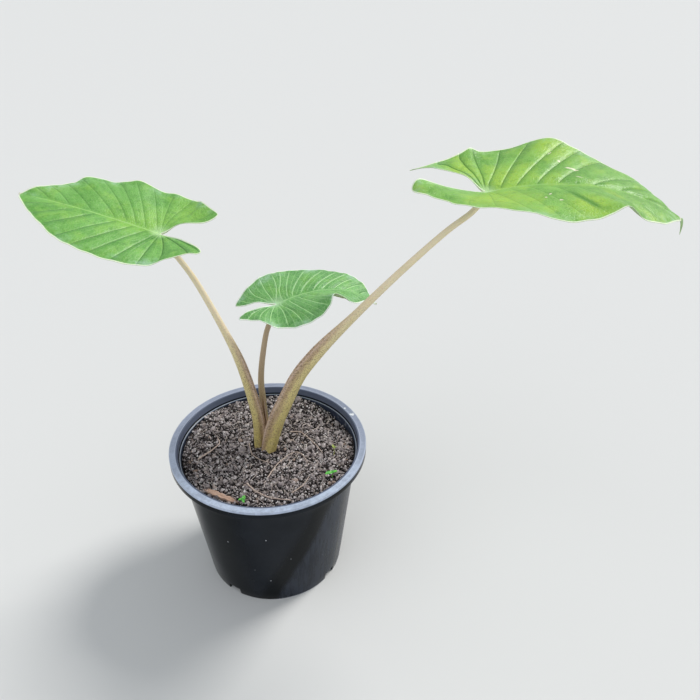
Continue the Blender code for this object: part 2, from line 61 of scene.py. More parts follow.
Piece = bpy.types.Object
Material = bpy.types.Material
Socket = bpy.types.NodeSocket
Array = np.ndarray
Colour = tuple[float, float, float]
Point = tuple[float, float, float]
Place = Callable[[Array, Array], Array]


class Slot(Enum):
    """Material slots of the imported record."""

    POT = "pot_plastic"
    SOIL = "potting_mix"
    ROOTSTOCK = "rootstock_skin"
    STALK = "stalk_skin"
    STALK_BROWN = "stalk_skin_brown"
    BLADE_YELLOW = "blade_yellow_green"
    BLADE_MID = "blade_mid_green"
    ROOT = "root_skin"
    BARK = "bark"
    SEEDLING = "seedling_green"


def arithmetic(operation: str, swapped: bool = False) -> Callable[["Signal", "Number"], "Signal"]:
    """Make a method that adds one Math node.

    Args:
        operation: The node's operation.
        swapped: Whether the other number comes first.

    Returns:
        The method.
    """

    def method(self: "Signal", other: "Number") -> "Signal":
        """Return the operation's result."""
        pair = (other, self) if swapped else (self, other)
        return self.graph.maths(operation, *pair)

    return method


class Signal:
    """A number in a shader graph; arithmetic on it adds Math nodes."""

    def __init__(self, graph: "Graph", socket: Socket) -> None:
        """Wrap the output socket that carries the number."""
        self.graph = graph
        self.socket = socket

    __add__ = arithmetic("ADD")
    __radd__ = arithmetic("ADD", swapped=True)
    __sub__ = arithmetic("SUBTRACT")
    __rsub__ = arithmetic("SUBTRACT", swapped=True)
    __mul__ = arithmetic("MULTIPLY")
    __rmul__ = arithmetic("MULTIPLY", swapped=True)
    __truediv__ = arithmetic("DIVIDE")
    __pow__ = arithmetic("POWER")
    most = arithmetic("MAXIMUM")
    least = arithmetic("MINIMUM")

    def __abs__(self) -> "Signal":
        """Return the size of self without its sign."""
        return self.graph.maths("ABSOLUTE", self)

    def fraction(self) -> "Signal":
        """Return the part after the decimal point."""
        return self.graph.maths("FRACT", self)

    def rise(self, low: "Number", high: "Number") -> "Signal":
        """Return a smooth step from 0 at low to 1 at high."""
        node = self.graph.node(
            "ShaderNodeMapRange",
            {"interpolation_type": "SMOOTHSTEP"},
            {"Value": self, "From Min": low, "From Max": high},
        )
        return Signal(self.graph, node.outputs["Result"])

    def fall(self, low: "Number", high: "Number") -> "Signal":
        """Return a smooth step from 1 at low to 0 at high."""
        return 1.0 - self.rise(low, high)


Number = Union[Signal, float]
Feed = Union[Signal, Socket, float, tuple]


def reach_of(a: Signal, b: Signal) -> Signal:
    """Return the distance from the origin to the place (a, b)."""
    return (a * a + b * b) ** 0.5


class Graph:
    """One material's shader graph."""

    def __init__(self, name: str) -> None:
        """Start a material with a Principled shader."""
        self.material = bpy.data.materials.new(name)
        self.material.use_nodes = True
        self.tree = self.material.node_tree
        self.shader = self.tree.nodes["Principled BSDF"]

    def node(
        self,
        kind: str,
        settings: dict[str, object] | None = None,
        sockets: dict[str | int, Feed] | None = None,
    ) -> bpy.types.Node:
        """Add one node.

        Args:
            kind: The node's type.
            settings: The node's own settings; "stops" holds a ramp's places and colours.
            sockets: Values or links of its inputs, by name or number.

        Returns:
            The new node.
        """
        made = self.tree.nodes.new(kind)
        for key, value in (settings or {}).items():
            if key == "stops":
                self._set_stops(made.color_ramp, value)
            else:
                setattr(made, key, value)
        for key, value in (sockets or {}).items():
            self.feed(made.inputs[key], value)
        return made

    def _set_stops(
        self, ramp: bpy.types.ColorRamp, stops: Sequence[tuple[float, Colour]]
    ) -> None:
        """Give a colour ramp its stops.

        Args:
            ramp: The ramp of a Color Ramp node.
            stops: Places and colours in rising order, two or more.
        """
        while len(ramp.elements) < len(stops):
            ramp.elements.new(1.0)
        for element, (place, colour) in zip(ramp.elements, stops):
            element.position = place
            element.color = (*colour, 1.0)

    def feed(self, socket: Socket, value: Feed) -> None:
        """Link a socket or set its value.

        Args:
            socket: The input socket.
            value: A signal, an output socket, a number or a colour.
        """
        if isinstance(value, Signal):
            self.tree.links.new(value.socket, socket)
        elif isinstance(value, Socket):
            self.tree.links.new(value, socket)
        elif isinstance(value, tuple) and socket.type == "RGBA":
            socket.default_value = (*value, 1.0)
        else:
            socket.default_value = value

    def maths(self, operation: str, *values: Number) -> Signal:
        """Add a Math node and return its result."""
        sockets = dict(enumerate(values))
        node = self.node("ShaderNodeMath", {"operation": operation}, sockets)
        return Signal(self, node.outputs[0])

    def value_of(self, attribute: str) -> Signal:
        """Return a number that the mesh stores at its points."""
        node = self.node("ShaderNodeAttribute", {"attribute_name": attribute})
        return Signal(self, node.outputs["Fac"])

    def place(self) -> Socket:
        """Return the object coordinates."""
        return self.node("ShaderNodeTexCoord").outputs["Object"]

    def split(self, vector: Socket) -> tuple[Signal, Signal, Signal]:
        """Return a vector's three parts."""
        node = self.node("ShaderNodeSeparateXYZ", None, {0: vector})
        x, y, z = (Signal(self, socket) for socket in node.outputs)
        return x, y, z

    def vector(self, x: Number, y: Number, z: Number) -> Socket:
        """Return a vector made of three numbers."""
        return self.node("ShaderNodeCombineXYZ", None, {0: x, 1: y, 2: z}).outputs[0]

    def distance(self, vector: Socket, point: Point) -> Signal:
        """Return the distance from a fixed point."""
        node = self.node("ShaderNodeVectorMath", {"operation": "DISTANCE"}, {0: vector, 1: point})
        return Signal(self, node.outputs["Value"])

    def stretched(self, vector: Socket, by: Point) -> Socket:
        """Return the vector with each part multiplied."""
        node = self.node("ShaderNodeVectorMath", {"operation": "MULTIPLY"}, {0: vector, 1: by})
        return node.outputs["Vector"]

    def noise(self, vector: Socket, size: float, detail: float, roughness: float) -> Signal:
        """Return soft noise around 0.5, with patches of a size in metres."""
        sockets = {"Vector": vector, "Scale": 1.0 / size, "Detail": detail, "Roughness": roughness}
        return Signal(self, self.node("ShaderNodeTexNoise", None, sockets).outputs["Fac"])

    def cells(
        self, vector: Socket, size: float, feature: str = "F1"
    ) -> tuple[Signal, Signal]:
        """Return a cell pattern.

        Args:
            vector: The coordinates in metres.
            size: The size of one cell in metres.
            feature: F1 for the distance to the cell's middle, or DISTANCE_TO_EDGE.

        Returns:
            The distance in cells, and a number that differs from cell to cell.
        """
        node = self.node(
            "ShaderNodeTexVoronoi", {"feature": feature}, {"Vector": vector, "Scale": 1.0 / size}
        )
        distance = Signal(self, node.outputs["Distance"])
        if feature != "F1":
            return distance, distance
        return distance, self.split(node.outputs["Color"])[0]

    def mix(self, share: Number, first: Feed, second: Feed) -> Socket:
        """Mix two colours.

        Args:
            share: The second colour's share.
            first: The colour at share 0.
            second: The colour at share 1.

        Returns:
            The mixed colour.
        """
        settings = {"data_type": "RGBA", "clamp_factor": True}
        node = self.node("ShaderNodeMix", settings, {0: share, 6: first, 7: second})
        return node.outputs[2]

    def coats(self, base: Feed, *coats: tuple[Number, Feed]) -> Socket:
        """Lay colours over a base, one after another.

        Args:
            base: The colour below.
            *coats: The share and the colour of each coat, the lowest first.

        Returns:
            The finished colour.
        """
        for share, colour in coats:
            base = self.mix(share, base, colour)
        return base

    def ramp(
        self, share: Number, stops: Sequence[tuple[float, Colour]]
    ) -> Socket:
        """Return a colour that runs through stops."""
        return self.node("ShaderNodeValToRGB", {"stops": stops}, {0: share}).outputs[0]

    def bump(
        self, height: Signal, depth: float, under: Socket | None = None
    ) -> Socket:
        """Return a normal with fine relief.

        Args:
            height: The relief, from about 0 to 1.
            depth: What a height of 1 is in metres.
            under: The normal of a coarser relief below it.

        Returns:
            The normal.
        """
        sockets: dict[str | int, Feed] = {"Height": height, "Distance": depth}
        if under is not None:
            sockets["Normal"] = under
        return self.node("ShaderNodeBump", None, sockets).outputs[0]

    def finish(
        self,
        colour: Feed,
        roughness: Feed,
        normal: Socket | None = None,
        fixed: dict[str, float | tuple] | None = None,
    ) -> Material:
        """Feed the Principled shader and return the material.

        Args:
            colour: The base colour.
            roughness: The roughness.
            normal: The normal, where the finish has relief.
            fixed: Other shader inputs that are the same all over, by name.

        Returns:
            The finished material.
        """
        self.feed(self.shader.inputs["Base Color"], colour)
        self.feed(self.shader.inputs["Roughness"], roughness)
        if normal is not None:
            self.feed(self.shader.inputs["Normal"], normal)
        for key, value in (fixed or {}).items():
            self.shader.inputs[key].default_value = value
        return self.material


def living_skin(gloss: float, glow: Colour) -> dict[str, float | tuple]:
    """Return the shader inputs of glossy plant skin that light spreads in."""
    return {
        "Specular IOR Level": gloss,
        "Subsurface Weight": 0.10,
        "Subsurface Radius": glow,
        "Subsurface Scale": 1.0 * MM,
    }


@dataclass(frozen=True)
class Mark:
    """A scuff or speck on a surface."""

    place: Point
    radius: float


@dataclass(frozen=True)
class PotFinish:
    """Black moulded plastic with a glossy wall; the pale rim is partly dust and partly painted sky
    reflection, and the wall and edges carry painted reflections and highlights.
    """

    pot: "NurseryPot"
    rim_inside: float = 0.0934
    lip_line: float = 0.1402
    wall_colour: Colour = (0.0026, 0.0042, 0.0056)
    # Inside wall: painted sky reflection on the same black plastic.
    inside_reflection_colour: Colour = (0.030, 0.038, 0.062)
    # Rim top: partly dust, partly painted sky reflection; the front colour is painted sheen.
    rim_side_dust_and_reflection: Colour = (0.315, 0.350, 0.455)
    rim_front_sheen: Colour = (0.560, 0.640, 0.800)
    # Inner face of the rim collar: painted sky reflection.
    rim_inner: Colour = (0.120, 0.140, 0.200)
    # Pale grey of the painted highlights on the rim's edges and the ledge, also of dusty specks on
    # the rim.
    edge_highlight_and_dust_colour: Colour = (0.52, 0.57, 0.68)
    # Wall haze colours: partly dust, partly painted reflection of the floor and surroundings.
    haze_and_reflection_colour: Colour = (0.034, 0.042, 0.060)
    warm_haze_and_reflection: Colour = (0.070, 0.052, 0.056)
    # Pale grey of wear and dust, also of the painted highlights along the foot and under the lip.
    wear_and_highlight_colour: Colour = (0.34, 0.36, 0.40)
    scuff_colour: Colour = (0.78, 0.80, 0.84)
    scuffs: tuple[Mark, ...] = (
        Mark((0.0857, 0.0443, 0.158), 0.0026),
        Mark((0.0782, 0.0546, 0.158), 0.0012),
        Mark((-0.0036, -0.0895, 0.1299), 0.0014),
    )
    specks: tuple[Mark, ...] = (
        Mark((-0.0373, -0.0745, 0.0914), 0.0007),
        Mark((0.0021, -0.0849, 0.1044), 0.0008),
        Mark((0.0243, -0.0768, 0.0691), 0.0007),
        Mark((-0.0129, -0.0776, 0.0534), 0.0007),
        Mark((0.0022, -0.0763, 0.0349), 0.0006),
    )

    def material(self) -> Material:
        """Return the pot's material."""
        g = Graph("pot_black_plastic")
        pot = self.pot
        place = g.place()
        x, y, z = g.split(place)
        radius = reach_of(x, y)
        clouds = g.noise(place, 0.028, 4.0, 0.6)
        streaks = g.noise(g.stretched(place, (1.0, 1.0, 0.06)), 0.0045, 3.0, 0.6)
        grime = g.noise(place, 0.0022, 3.0, 0.7)
        smudge = g.noise(place, 0.0065, 4.0, 0.65)
        scratches = g.noise(g.stretched(place, (1.0, 1.0, 0.2)), 0.0009, 2.0, 0.6)

        slope = (pot.shoulder_radius - pot.base_radius) / pot.shoulder_height
        middle_of_wall = z * slope + (pot.base_radius - 0.5 * pot.wall)
        # The inside takes a painted sky reflection, lighter and bluer than the outside.
        inside = (middle_of_wall - radius).rise(0.0, 0.3 * MM) * z.rise(4.0 * MM, 6.0 * MM)
        # Painted highlight along the foot ring's lower edge at the front right, partly wear.
        foot = z.fall(0.4 * MM, 1.6 * MM) * y.fall(-0.020, 0.0) * x.rise(-0.010, 0.020)
        # Pale line under the lip: partly dust, partly painted highlight.
        under_lip = abs(z - self.lip_line - (clouds - 0.5) * 0.004).fall(0.2 * MM, 0.7 * MM)
        under_lip = under_lip * y.fall(-0.06, -0.03) * smudge.rise(0.35, 0.6)
        ledge_radius = pot.rim_radius - pot.rim_band
        # Painted highlight along the ledge's edge, broken by grime noise.
        ledge = abs(z - pot.ledge_height).fall(0.35 * MM, 0.75 * MM)
        ledge = ledge * radius.fall(ledge_radius - 2.1 * MM, ledge_radius - 1.3 * MM)
        # Painted sky reflection on the rim collar's inner face.
        collar = z.rise(pot.ledge_height + 0.8 * MM, pot.ledge_height + 1.6 * MM)
        collar = collar * radius.fall(self.rim_inside - 0.4 * MM, self.rim_inside + 0.4 * MM)
        wall, film_and_reflection = self._wall(g, x, y, z, streaks, clouds)
        colour = g.coats(
            wall,
            (foot * grime.rise(0.25, 0.50) * 0.8, self.wear_and_highlight_colour),
            (under_lip * 0.35, self.wear_and_highlight_colour),
            (inside, self.inside_reflection_colour),
            (ledge * grime.rise(0.15, 0.45), self.edge_highlight_and_dust_colour),
            (inside * smudge.rise(0.50, 0.72) * 0.25, self.wear_and_highlight_colour),
            (collar, self.rim_inner),
        )

        # Pale rim top: partly dust, partly painted sky reflection, painted brighter towards the front
        # as painted sheen.
        top = z.rise(pot.height - 3.0 * MM, pot.height - 2.2 * MM)
        on_rim = top * radius.rise(self.rim_inside - 0.3 * MM, self.rim_inside + 0.5 * MM)
        worn = (smudge * 0.8 + grime * 0.5 + clouds * 0.4).rise(0.62, 1.08)
        rim = g.coats(
            self.rim_side_dust_and_reflection,
            (y.fall(-0.085, 0.02), self.rim_front_sheen),
            (worn * 0.50, tuple(0.60 * c for c in self.rim_side_dust_and_reflection)),
            (grime.rise(0.62, 0.78) * 0.5, self.edge_highlight_and_dust_colour),
        )
        # Painted highlights along the rim's outer and inner edges.
        outer_edge = abs(radius - pot.rim_radius + 0.5 * MM).fall(0.15 * MM, 0.50 * MM)
        inner_edge = abs(radius - self.rim_inside - 0.6 * MM).fall(0.15 * MM, 0.45 * MM)
        edge_highlights = outer_edge.most(inner_edge) * top * smudge.rise(0.36, 0.60)
        pale = self._marks(g, place, grime)
        colour = g.coats(
            colour, (on_rim, rim), (edge_highlights * 0.6, self.edge_highlight_and_dust_colour), (pale, self.scuff_colour)
        )
        rough = 0.15 + clouds * 0.08 + film_and_reflection * 0.14 + on_rim * 0.18 + pale * 0.3 + inside * 0.10
        height = scratches * 0.3 + grime * 0.4 + clouds
        return g.finish(colour, rough, g.bump(height, 0.10 * MM), {"Specular IOR Level": 0.09})

    def _wall(
        self, g: Graph, x: Signal, y: Signal, z: Signal, streaks: Signal, clouds: Signal
    ) -> tuple[Socket, Signal]:
        """Return the wall's colour and where a pale haze lies on it, partly dust and partly painted
        reflection.

        Args:
            g: The pot's graph.
            x: The place across.
            y: The place in depth.
            z: The height.
            streaks: Noise in upright streaks.
            clouds: Soft noise.

        Returns:
            The colour, and the mask of the haze from 0 to 1.
        """
        # Painted reflections, partly a dust film: pale haze on the right bounded by a dark curve,
        # haze at the left and back, warm streaks at both sides.
        turn = g.maths("ARCTAN2", y, x) * (180.0 / math.pi) + (clouds - 0.5) * 9.0
        bow = turn + (0.12 - z) * 330.0
        film_and_reflection = bow.rise(-48.0, -40.0) * turn.fall(-10.0, 14.0)
        film_and_reflection = film_and_reflection * (0.45 + streaks.rise(0.28, 0.72) * 0.55)
        film_and_reflection = film_and_reflection * (1.0 - abs(turn + 25.0).fall(1.0, 4.0) * 0.65)
        left = turn.rise(-118.0, -96.0) * bow.fall(-66.0, -55.0) * (0.10 + clouds * 0.30)
        behind = turn.rise(0.0, 24.0) * (clouds.rise(0.35, 0.75) * 0.35 + 0.05)
        warm = turn.rise(-24.0, -12.0) * turn.fall(-8.0, 16.0) * streaks.rise(0.34, 0.78)
        warm_left = turn.fall(-150.0, -132.0) * turn.rise(-178.0, -158.0) * streaks.rise(0.38, 0.82)
        colour = g.coats(
            self.wall_colour,
            ((film_and_reflection + left + behind).least(1.0), self.haze_and_reflection_colour),
            ((warm + warm_left * 0.6).least(1.0) * 0.6, self.warm_haze_and_reflection),
        )
        return colour, film_and_reflection

    def _marks(self, g: Graph, place: Socket, grime: Signal) -> Signal:
        """Return the mask of scuffs and specks.

        Args:
            g: The pot's graph.
            place: The object coordinates.
            grime: Fine noise that breaks the marks' edges.

        Returns:
            A mask from 0 to 1.
        """
        pale: Number = 0.0
        for mark in (*self.scuffs, *self.specks):
            away = g.distance(place, mark.place) / mark.radius
            pale = (away + (grime - 0.5) * 3.0).fall(0.40, 1.05) + pale
        scatter, lottery = g.cells(place, 0.011)
        dots = scatter.fall(0.022, 0.034) * lottery.rise(0.80, 0.82)
        return (pale + dots * 0.55).least(1.0)


@dataclass(frozen=True)
class GritFinish:
    """Grains of potting mix; each grain stores its own tint and warmth."""

    name: str
    grain_size: float
    dark: Colour = (0.018, 0.015, 0.015)
    brown: Colour = (0.165, 0.134, 0.131)
    grey: Colour = (0.37, 0.322, 0.325)
    pink: Colour = (0.60, 0.530, 0.530)
    white: Colour = (0.88, 0.84, 0.84)
    warm: Colour = (0.42, 0.285, 0.215)

    def material(self) -> Material:
        """Return the grains' material."""
        g = Graph(self.name)
        place = g.place()
        tint = g.value_of("tint")
        mottle = g.noise(place, 0.6 * self.grain_size, 4.0, 0.65)
        fine = g.noise(place, 0.16 * self.grain_size, 3.0, 0.6)
        level = tint + (mottle - 0.5) * 0.75 + (fine - 0.5) * 0.55
        stops = [
            (0.0, self.dark),
            (0.28, self.brown),
            (0.52, self.grey),
            (0.76, self.pink),
            (1.0, self.white),
        ]
        colour = g.mix(g.value_of("warmth") * 0.7, g.ramp(level, stops), self.warm)
        normal = g.bump(mottle * 0.9 + fine * 0.6, 0.35 * self.grain_size)
        return g.finish(colour, 0.92, normal, {"Specular IOR Level": 0.22})


@dataclass(frozen=True)
class HumusFinish:
    """Damp dark peat between the grains, painted near-black as painted shade in the gaps."""

    # Near-black: the peat's own dark colour deepened as painted shade for the gaps between grains.
    dark: Colour = (0.007, 0.006, 0.006)
    brown: Colour = (0.060, 0.047, 0.046)
    pale: Colour = (0.36, 0.315, 0.315)

    def material(self) -> Material:
        """Return the peat's material."""
        g = Graph("humus_and_gap_shade")
        place = g.place()
        clods = g.noise(place, 0.0040, 5.0, 0.7)
        specks, lottery = g.cells(place, 0.0011)
        level = clods.rise(0.38, 0.78) * 0.55
        level = level + specks.fall(0.15, 0.40) * lottery.rise(0.62, 0.90) * 0.6
        colour = g.ramp(level, [(0.0, self.dark), (0.45, self.brown), (1.0, self.pale)])
        normal = g.bump(clods + specks.fall(0.0, 0.6) * 0.4, 1.4 * MM)
        return g.finish(colour, 0.93, normal, {"Specular IOR Level": 0.22})


@dataclass(frozen=True)
class BladeFinish:
    """Satin leaf skin: creased side veins with painted shade and painted highlights beside them,
    painted sheen near the margin, pale rib and margin, and a paler underside.
    """

    name: str
    green: Colour
    light_green: Colour
    yellow: Colour
    shade: Colour
    vein: Colour
    # Side of each vein that takes the painted shade band: 1 towards the lobes, -1 towards the tip.
    lobeward: float
    crease_shade: float
    lit_line: float
    line_offset: float
    shading: float
    fine_veins: float
    # Share of the pale patches near the margin: waxy bloom and painted sheen.
    bloom_and_sheen: float
    rib: Colour = (0.36, 0.62, 0.19)
    rib_share: float = 0.70
    heart: Colour = (0.52, 0.76, 0.38)
    margin: Colour = (0.80, 0.86, 0.66)
    tip: Colour = (0.70, 0.66, 0.48)
    bloom_and_sheen_colour: Colour = (0.40, 0.60, 0.46)
    under: Colour = (0.27, 0.42, 0.19)
    under_rib: Colour = (0.47, 0.54, 0.27)
    damage_colour: Colour = (0.80, 0.76, 0.56)
    damage: tuple[tuple[float, float, float, float, float], ...] = ()
    # Yellow flushes; a patch can also lighten a part as painted light.
    yellow_flushes_and_painted_light: tuple[tuple[float, float, float], ...] = ()
    line_width: float = 0.75 * MM
    dark_stripe: tuple[float, float, float, float] | None = None

    def material(self, length: float) -> Material:
        """Return the material of a blade.

        Args:
            length: The blade's length from the stalk to the tip.

        Returns:
            The material.
        """
        g = Graph(self.name)
        place = g.place()
        along, across = g.value_of("along"), g.value_of("across")
        edge, panel = g.value_of("edge"), g.value_of("panel")
        phase = g.value_of("vein").fraction()
        below = g.value_of("underside").rise(0.35, 0.65)
        from_rib = abs(across)
        patches = g.noise(place, 0.030, 3.0, 0.55)
        sunny = g.noise(place, 0.017, 2.0, 0.5)
        mottle = g.noise(place, 0.0060, 4.0, 0.62)
        grain = g.noise(place, 0.0012, 2.0, 0.65)
        flat = g.vector(along, across, 0.0)
        net_gap, _ = g.cells(g.stretched(flat, (1.0, 0.68, 1.0)), 0.0023, "DISTANCE_TO_EDGE")
        net = net_gap.fall(0.03, 0.18)

        veined = from_rib.rise(0.6 * MM, 4.0 * MM) * g.value_of("relief")
        gap = (phase - phase.rise(0.4999, 0.5001)) * panel * self.lobeward
        broken = mottle.rise(0.25, 0.62) * 0.6 + 0.4
        # Painted shade: a dark line in each vein's crease.
        dark = abs(gap - 0.30 * MM).fall(0.15 * MM, 0.80 * MM) * veined * broken
        # With an offset, a painted highlight on the ridge beside each vein; centred, the vein's own
        # pale line.
        lit = abs(gap + self.line_offset).fall(0.1 * MM, self.line_width) * veined
        # Painted shade band on one side of each vein, fading across the panel.
        shaded = gap.rise(-0.1 * MM, 0.9 * MM) * (gap / panel).fall(0.02, 0.50) * veined
        between = (abs(phase - 0.5) * panel).fall(0.10 * MM, 0.50 * MM)
        between = between * panel.rise(3.5 * MM, 7.0 * MM)
        # Waxy bloom and painted sheen: bluish-white patches near the margin.
        bloom_and_sheen_mask = edge.fall(0.002, 0.013) * patches.rise(0.44, 0.64) * mottle.rise(0.36, 0.60)
        taper = 1.0 - (along / length).most(0.0).least(1.0) * 0.70
        rib_line = from_rib.fall(0.30 * MM, 1.05 * MM * taper + 0.20 * MM)
        rib_line = rib_line * along.rise(-0.002, 0.001)
        rim = (edge + (mottle - 0.5) * 0.6 * MM).fall(0.75 * MM, 1.45 * MM)
        ribbed = abs(gap).fall(0.2 * MM, 1.4 * MM).most(rib_line)
        lower = g.coats(
            self.under,
            (mottle.rise(0.35, 0.7) * 0.35, self.light_green),
            (net * 0.30, self.under_rib),
            (ribbed * 0.75, self.under_rib),
        )
        # Yellow flushes, some of them painted light.
        yellow_flushes_and_painted_light = [
            (reach_of(along - at, across - beside).fall(0.1 * reach, reach) * 0.85, self.yellow)
            for at, beside, reach in self.yellow_flushes_and_painted_light
        ]
        colour = g.coats(
            self.green,
            (patches.rise(0.36, 0.66), self.light_green),
            (sunny.rise(0.48, 0.70) * 0.55, self.yellow),
            *yellow_flushes_and_painted_light,
            (mottle.rise(0.42, 0.66) * 0.50, self.light_green),
            (mottle.fall(0.34, 0.50) * 0.40, self.shade),
            (shaded * self.shading, self.shade),
            (grain.rise(0.55, 0.72) * 0.40, self.vein),
            (grain.fall(0.28, 0.45) * 0.32, self.shade),
            (net * 0.15, self.vein),
            (between * self.fine_veins * veined, self.vein),
            (bloom_and_sheen_mask * self.bloom_and_sheen, self.bloom_and_sheen_colour),
            (lit * self.lit_line * edge.rise(0.0, 0.010), self.vein),
            (dark * self.crease_shade * edge.rise(0.0, 0.006), tuple(0.6 * c for c in self.shade)),
            (rib_line * self.rib_share, self.rib),
            (reach_of(along, across).fall(0.0, 0.013) * 0.75, self.heart),
            (self._stripe(along, across), self.shade),
            (self._damage(along, across, mottle), self.damage_colour),
            (rim * 0.90, self.margin),
            ((along - length).rise(-0.0030, -0.0008), self.tip),
            (below, lower),
        )
        rough = 0.40 + (patches - 0.5) * 0.14 + (grain - 0.5) * 0.16 + below * 0.18 - dark * 0.06
        coarse = g.bump(mottle * 0.8 + patches, 0.60 * MM)
        normal = g.bump(net * 0.5 + grain * 0.5 - dark * 0.8 - between * 0.4, 0.16 * MM, coarse)
        return g.finish(colour, rough, normal, living_skin(0.40, (0.5, 1.0, 0.25)))

    def _stripe(self, along: Signal, across: Signal) -> Number:
        """Return the mask of a dark stripe between two veins, if the blade has one.

        Args:
            along: Distance along the rib.
            across: Distance to the side of the rib.

        Returns:
            A mask from 0 to 1.
        """
        if self.dark_stripe is None:
            return 0.0
        start_along, start_across, end_along, end_across = self.dark_stripe
        run = math.hypot(end_along - start_along, end_across - start_across)
        ux, uy = (end_along - start_along) / run, (end_across - start_across) / run
        forward = ((along - start_along) * ux + (across - start_across) * uy) / run
        aside = abs((across - start_across) * ux - (along - start_along) * uy)
        return forward.rise(0.0, 0.35) * forward.fall(0.75, 1.05) * aside.fall(0.0005, 0.0045) * 0.85

    def _damage(self, along: Signal, across: Signal, mottle: Signal) -> Number:
        """Return the mask of pale torn or scraped spots.

        Args:
            along: Distance along the rib.
            across: Distance to the side of the rib.
            mottle: Noise that breaks the spots' edges.

        Returns:
            A mask from 0 to 1.
        """
        hurt: Number = 0.0
        for at, beside, length, width, turn in self.damage:
            ux, uy = math.cos(math.radians(turn)), math.sin(math.radians(turn))
            forward = ((along - at) * ux + (across - beside) * uy) / length
            aside = ((across - beside) * ux - (along - at) * uy) / width
            away = reach_of(forward, aside) + (mottle - 0.5) * 2.0
            hurt = (away.fall(0.5, 0.95) * 0.92 + hurt).least(1.0)
        return hurt


@dataclass(frozen=True)
class StalkFinish:
    """Leaf stalk skin: pinkish sheath and foot, olive lower part with dark flecks, cream top."""

    name: str
    foot: Colour = (0.50, 0.320, 0.235)
    low: Colour = (0.62, 0.510, 0.170)
    middle: Colour = (0.70, 0.590, 0.270)
    top: Colour = (0.86, 0.750, 0.510)
    fleck: Colour = (0.130, 0.075, 0.045)
    sheath: Colour = (0.430, 0.280, 0.190)
    sheath_margin: Colour = (0.70, 0.52, 0.43)
    blush: Colour = (0.78, 0.60, 0.46)
    sheath_end: float = 0.50
    fleck_share: float = 0.66

    def material(self) -> Material:
        """Return the stalk's material."""
        g = Graph(self.name)
        share, run, inner = g.value_of("share"), g.value_of("run"), g.value_of("inner")
        skin = g.vector(g.value_of("spoke_x"), g.value_of("spoke_y"), run)
        clouds = g.noise(g.stretched(skin, (1.0, 1.0, 0.25)), 0.006, 4.0, 0.6)
        fibres = g.noise(g.stretched(skin, (1.0, 1.0, 0.05)), 0.0007, 2.0, 0.6)
        dash = g.noise(g.stretched(skin, (1.0, 1.0, 0.55)), 0.00062, 2.0, 0.7)
        band = g.noise(g.stretched(skin, (1.0, 1.0, 0.40)), 0.0032, 3.0, 0.65)
        stops = [
            (0.0, self.foot),
            (0.035, self.low),
            (0.34, self.middle),
            (0.66, self.top),
            (1.0, self.top),
        ]
        end = self.sheath_end
        sheathed = (inner + (band - 0.5) * 1.1).rise(0.20, 0.95) * share.fall(0.70 * end, 1.15 * end)
        margin = (1.0 - abs(inner - 0.92) * 14.0).most(0.0) * share.fall(0.8 * end, end)
        flushed = band.rise(0.50, 0.68) * share.fall(0.05, 0.34) * (1.0 - sheathed)
        flecked = dash.rise(0.525, 0.590) * share.fall(0.34, 0.86)
        scurf, lottery = g.cells(g.stretched(skin, (1.0, 1.0, 0.5)), 0.0021)
        scurf = scurf.fall(0.10, 0.20) * lottery.rise(0.78, 0.84) * share.fall(0.05, 0.15)
        colour = g.coats(
            g.ramp(share + (clouds - 0.5) * 0.07, stops),
            (clouds.rise(0.48, 0.72) * 0.35, self.middle),
            (sheathed * 0.80, self.sheath),
            (margin * share.rise(0.02, 0.06) * 0.70, self.sheath_margin),
            (flushed * 0.45, self.sheath),
            (flecked * self.fleck_share, self.fleck),
            (inner.rise(-0.1, 0.9) * share.rise(0.30, 0.62) * 0.30, self.blush),
            (fibres.rise(0.52, 0.78) * 0.30, self.top),
            (fibres.fall(0.28, 0.44) * share.rise(0.25, 0.6) * 0.25, self.middle),
            (scurf * 0.7, self.top),
        )
        rough = 0.44 + (clouds - 0.5) * 0.2 + flecked * 0.08
        coarse = g.bump(clouds + band * 0.4, 0.30 * MM)
        normal = g.bump(fibres * 0.8 + dash * 0.3, 0.10 * MM, coarse)
        return g.finish(colour, rough, normal, living_skin(0.36, (1.0, 0.7, 0.3)))


@dataclass(frozen=True)
class FibreFinish:
    """Dry root or bark: long fibres in two tones with dark cracks."""

    name: str
    pale: Colour
    deep: Colour
    crack: Colour
    fibre_size: float
    turn: float = 0.0

    def material(self) -> Material:
        """Return the fibre material."""
        g = Graph(self.name)
        place = g.place()
        turned = g.node(
            "ShaderNodeMapping",
            None,
            {"Vector": place, "Rotation": (0.0, 0.0, math.radians(self.turn))},
        ).outputs[0]
        fibres = g.noise(g.stretched(turned, (0.12, 1.0, 1.0)), self.fibre_size, 4.0, 0.6)
        blotches = g.noise(place, 6.0 * self.fibre_size, 3.0, 0.6)
        colour = g.coats(
            self.deep,
            (fibres.rise(0.32, 0.70), self.pale),
            (blotches.rise(0.45, 0.72) * 0.5, self.deep),
            (fibres.fall(0.24, 0.36) * 0.8, self.crack),
        )
        normal = g.bump(fibres + blotches * 0.5, 0.5 * self.fibre_size)
        return g.finish(colour, 0.82, normal, {"Specular IOR Level": 0.3})


@dataclass(frozen=True)
class SproutFinish:
    """Tender bright green of a seedling."""

    name: str
    bright: Colour
    deep: Colour

    def material(self) -> Material:
        """Return the seedling's material."""
        g = Graph(self.name)
        place = g.place()
        patches = g.noise(place, 0.0022, 3.0, 0.6)
        fine = g.noise(place, 0.0004, 2.0, 0.6)
        colour = g.mix(patches.rise(0.35, 0.68), self.deep, self.bright)
        rough = 0.40 + (fine - 0.5) * 0.3
        return g.finish(colour, rough, g.bump(fine + patches, 0.12 * MM), {"Subsurface Weight": 0.1})


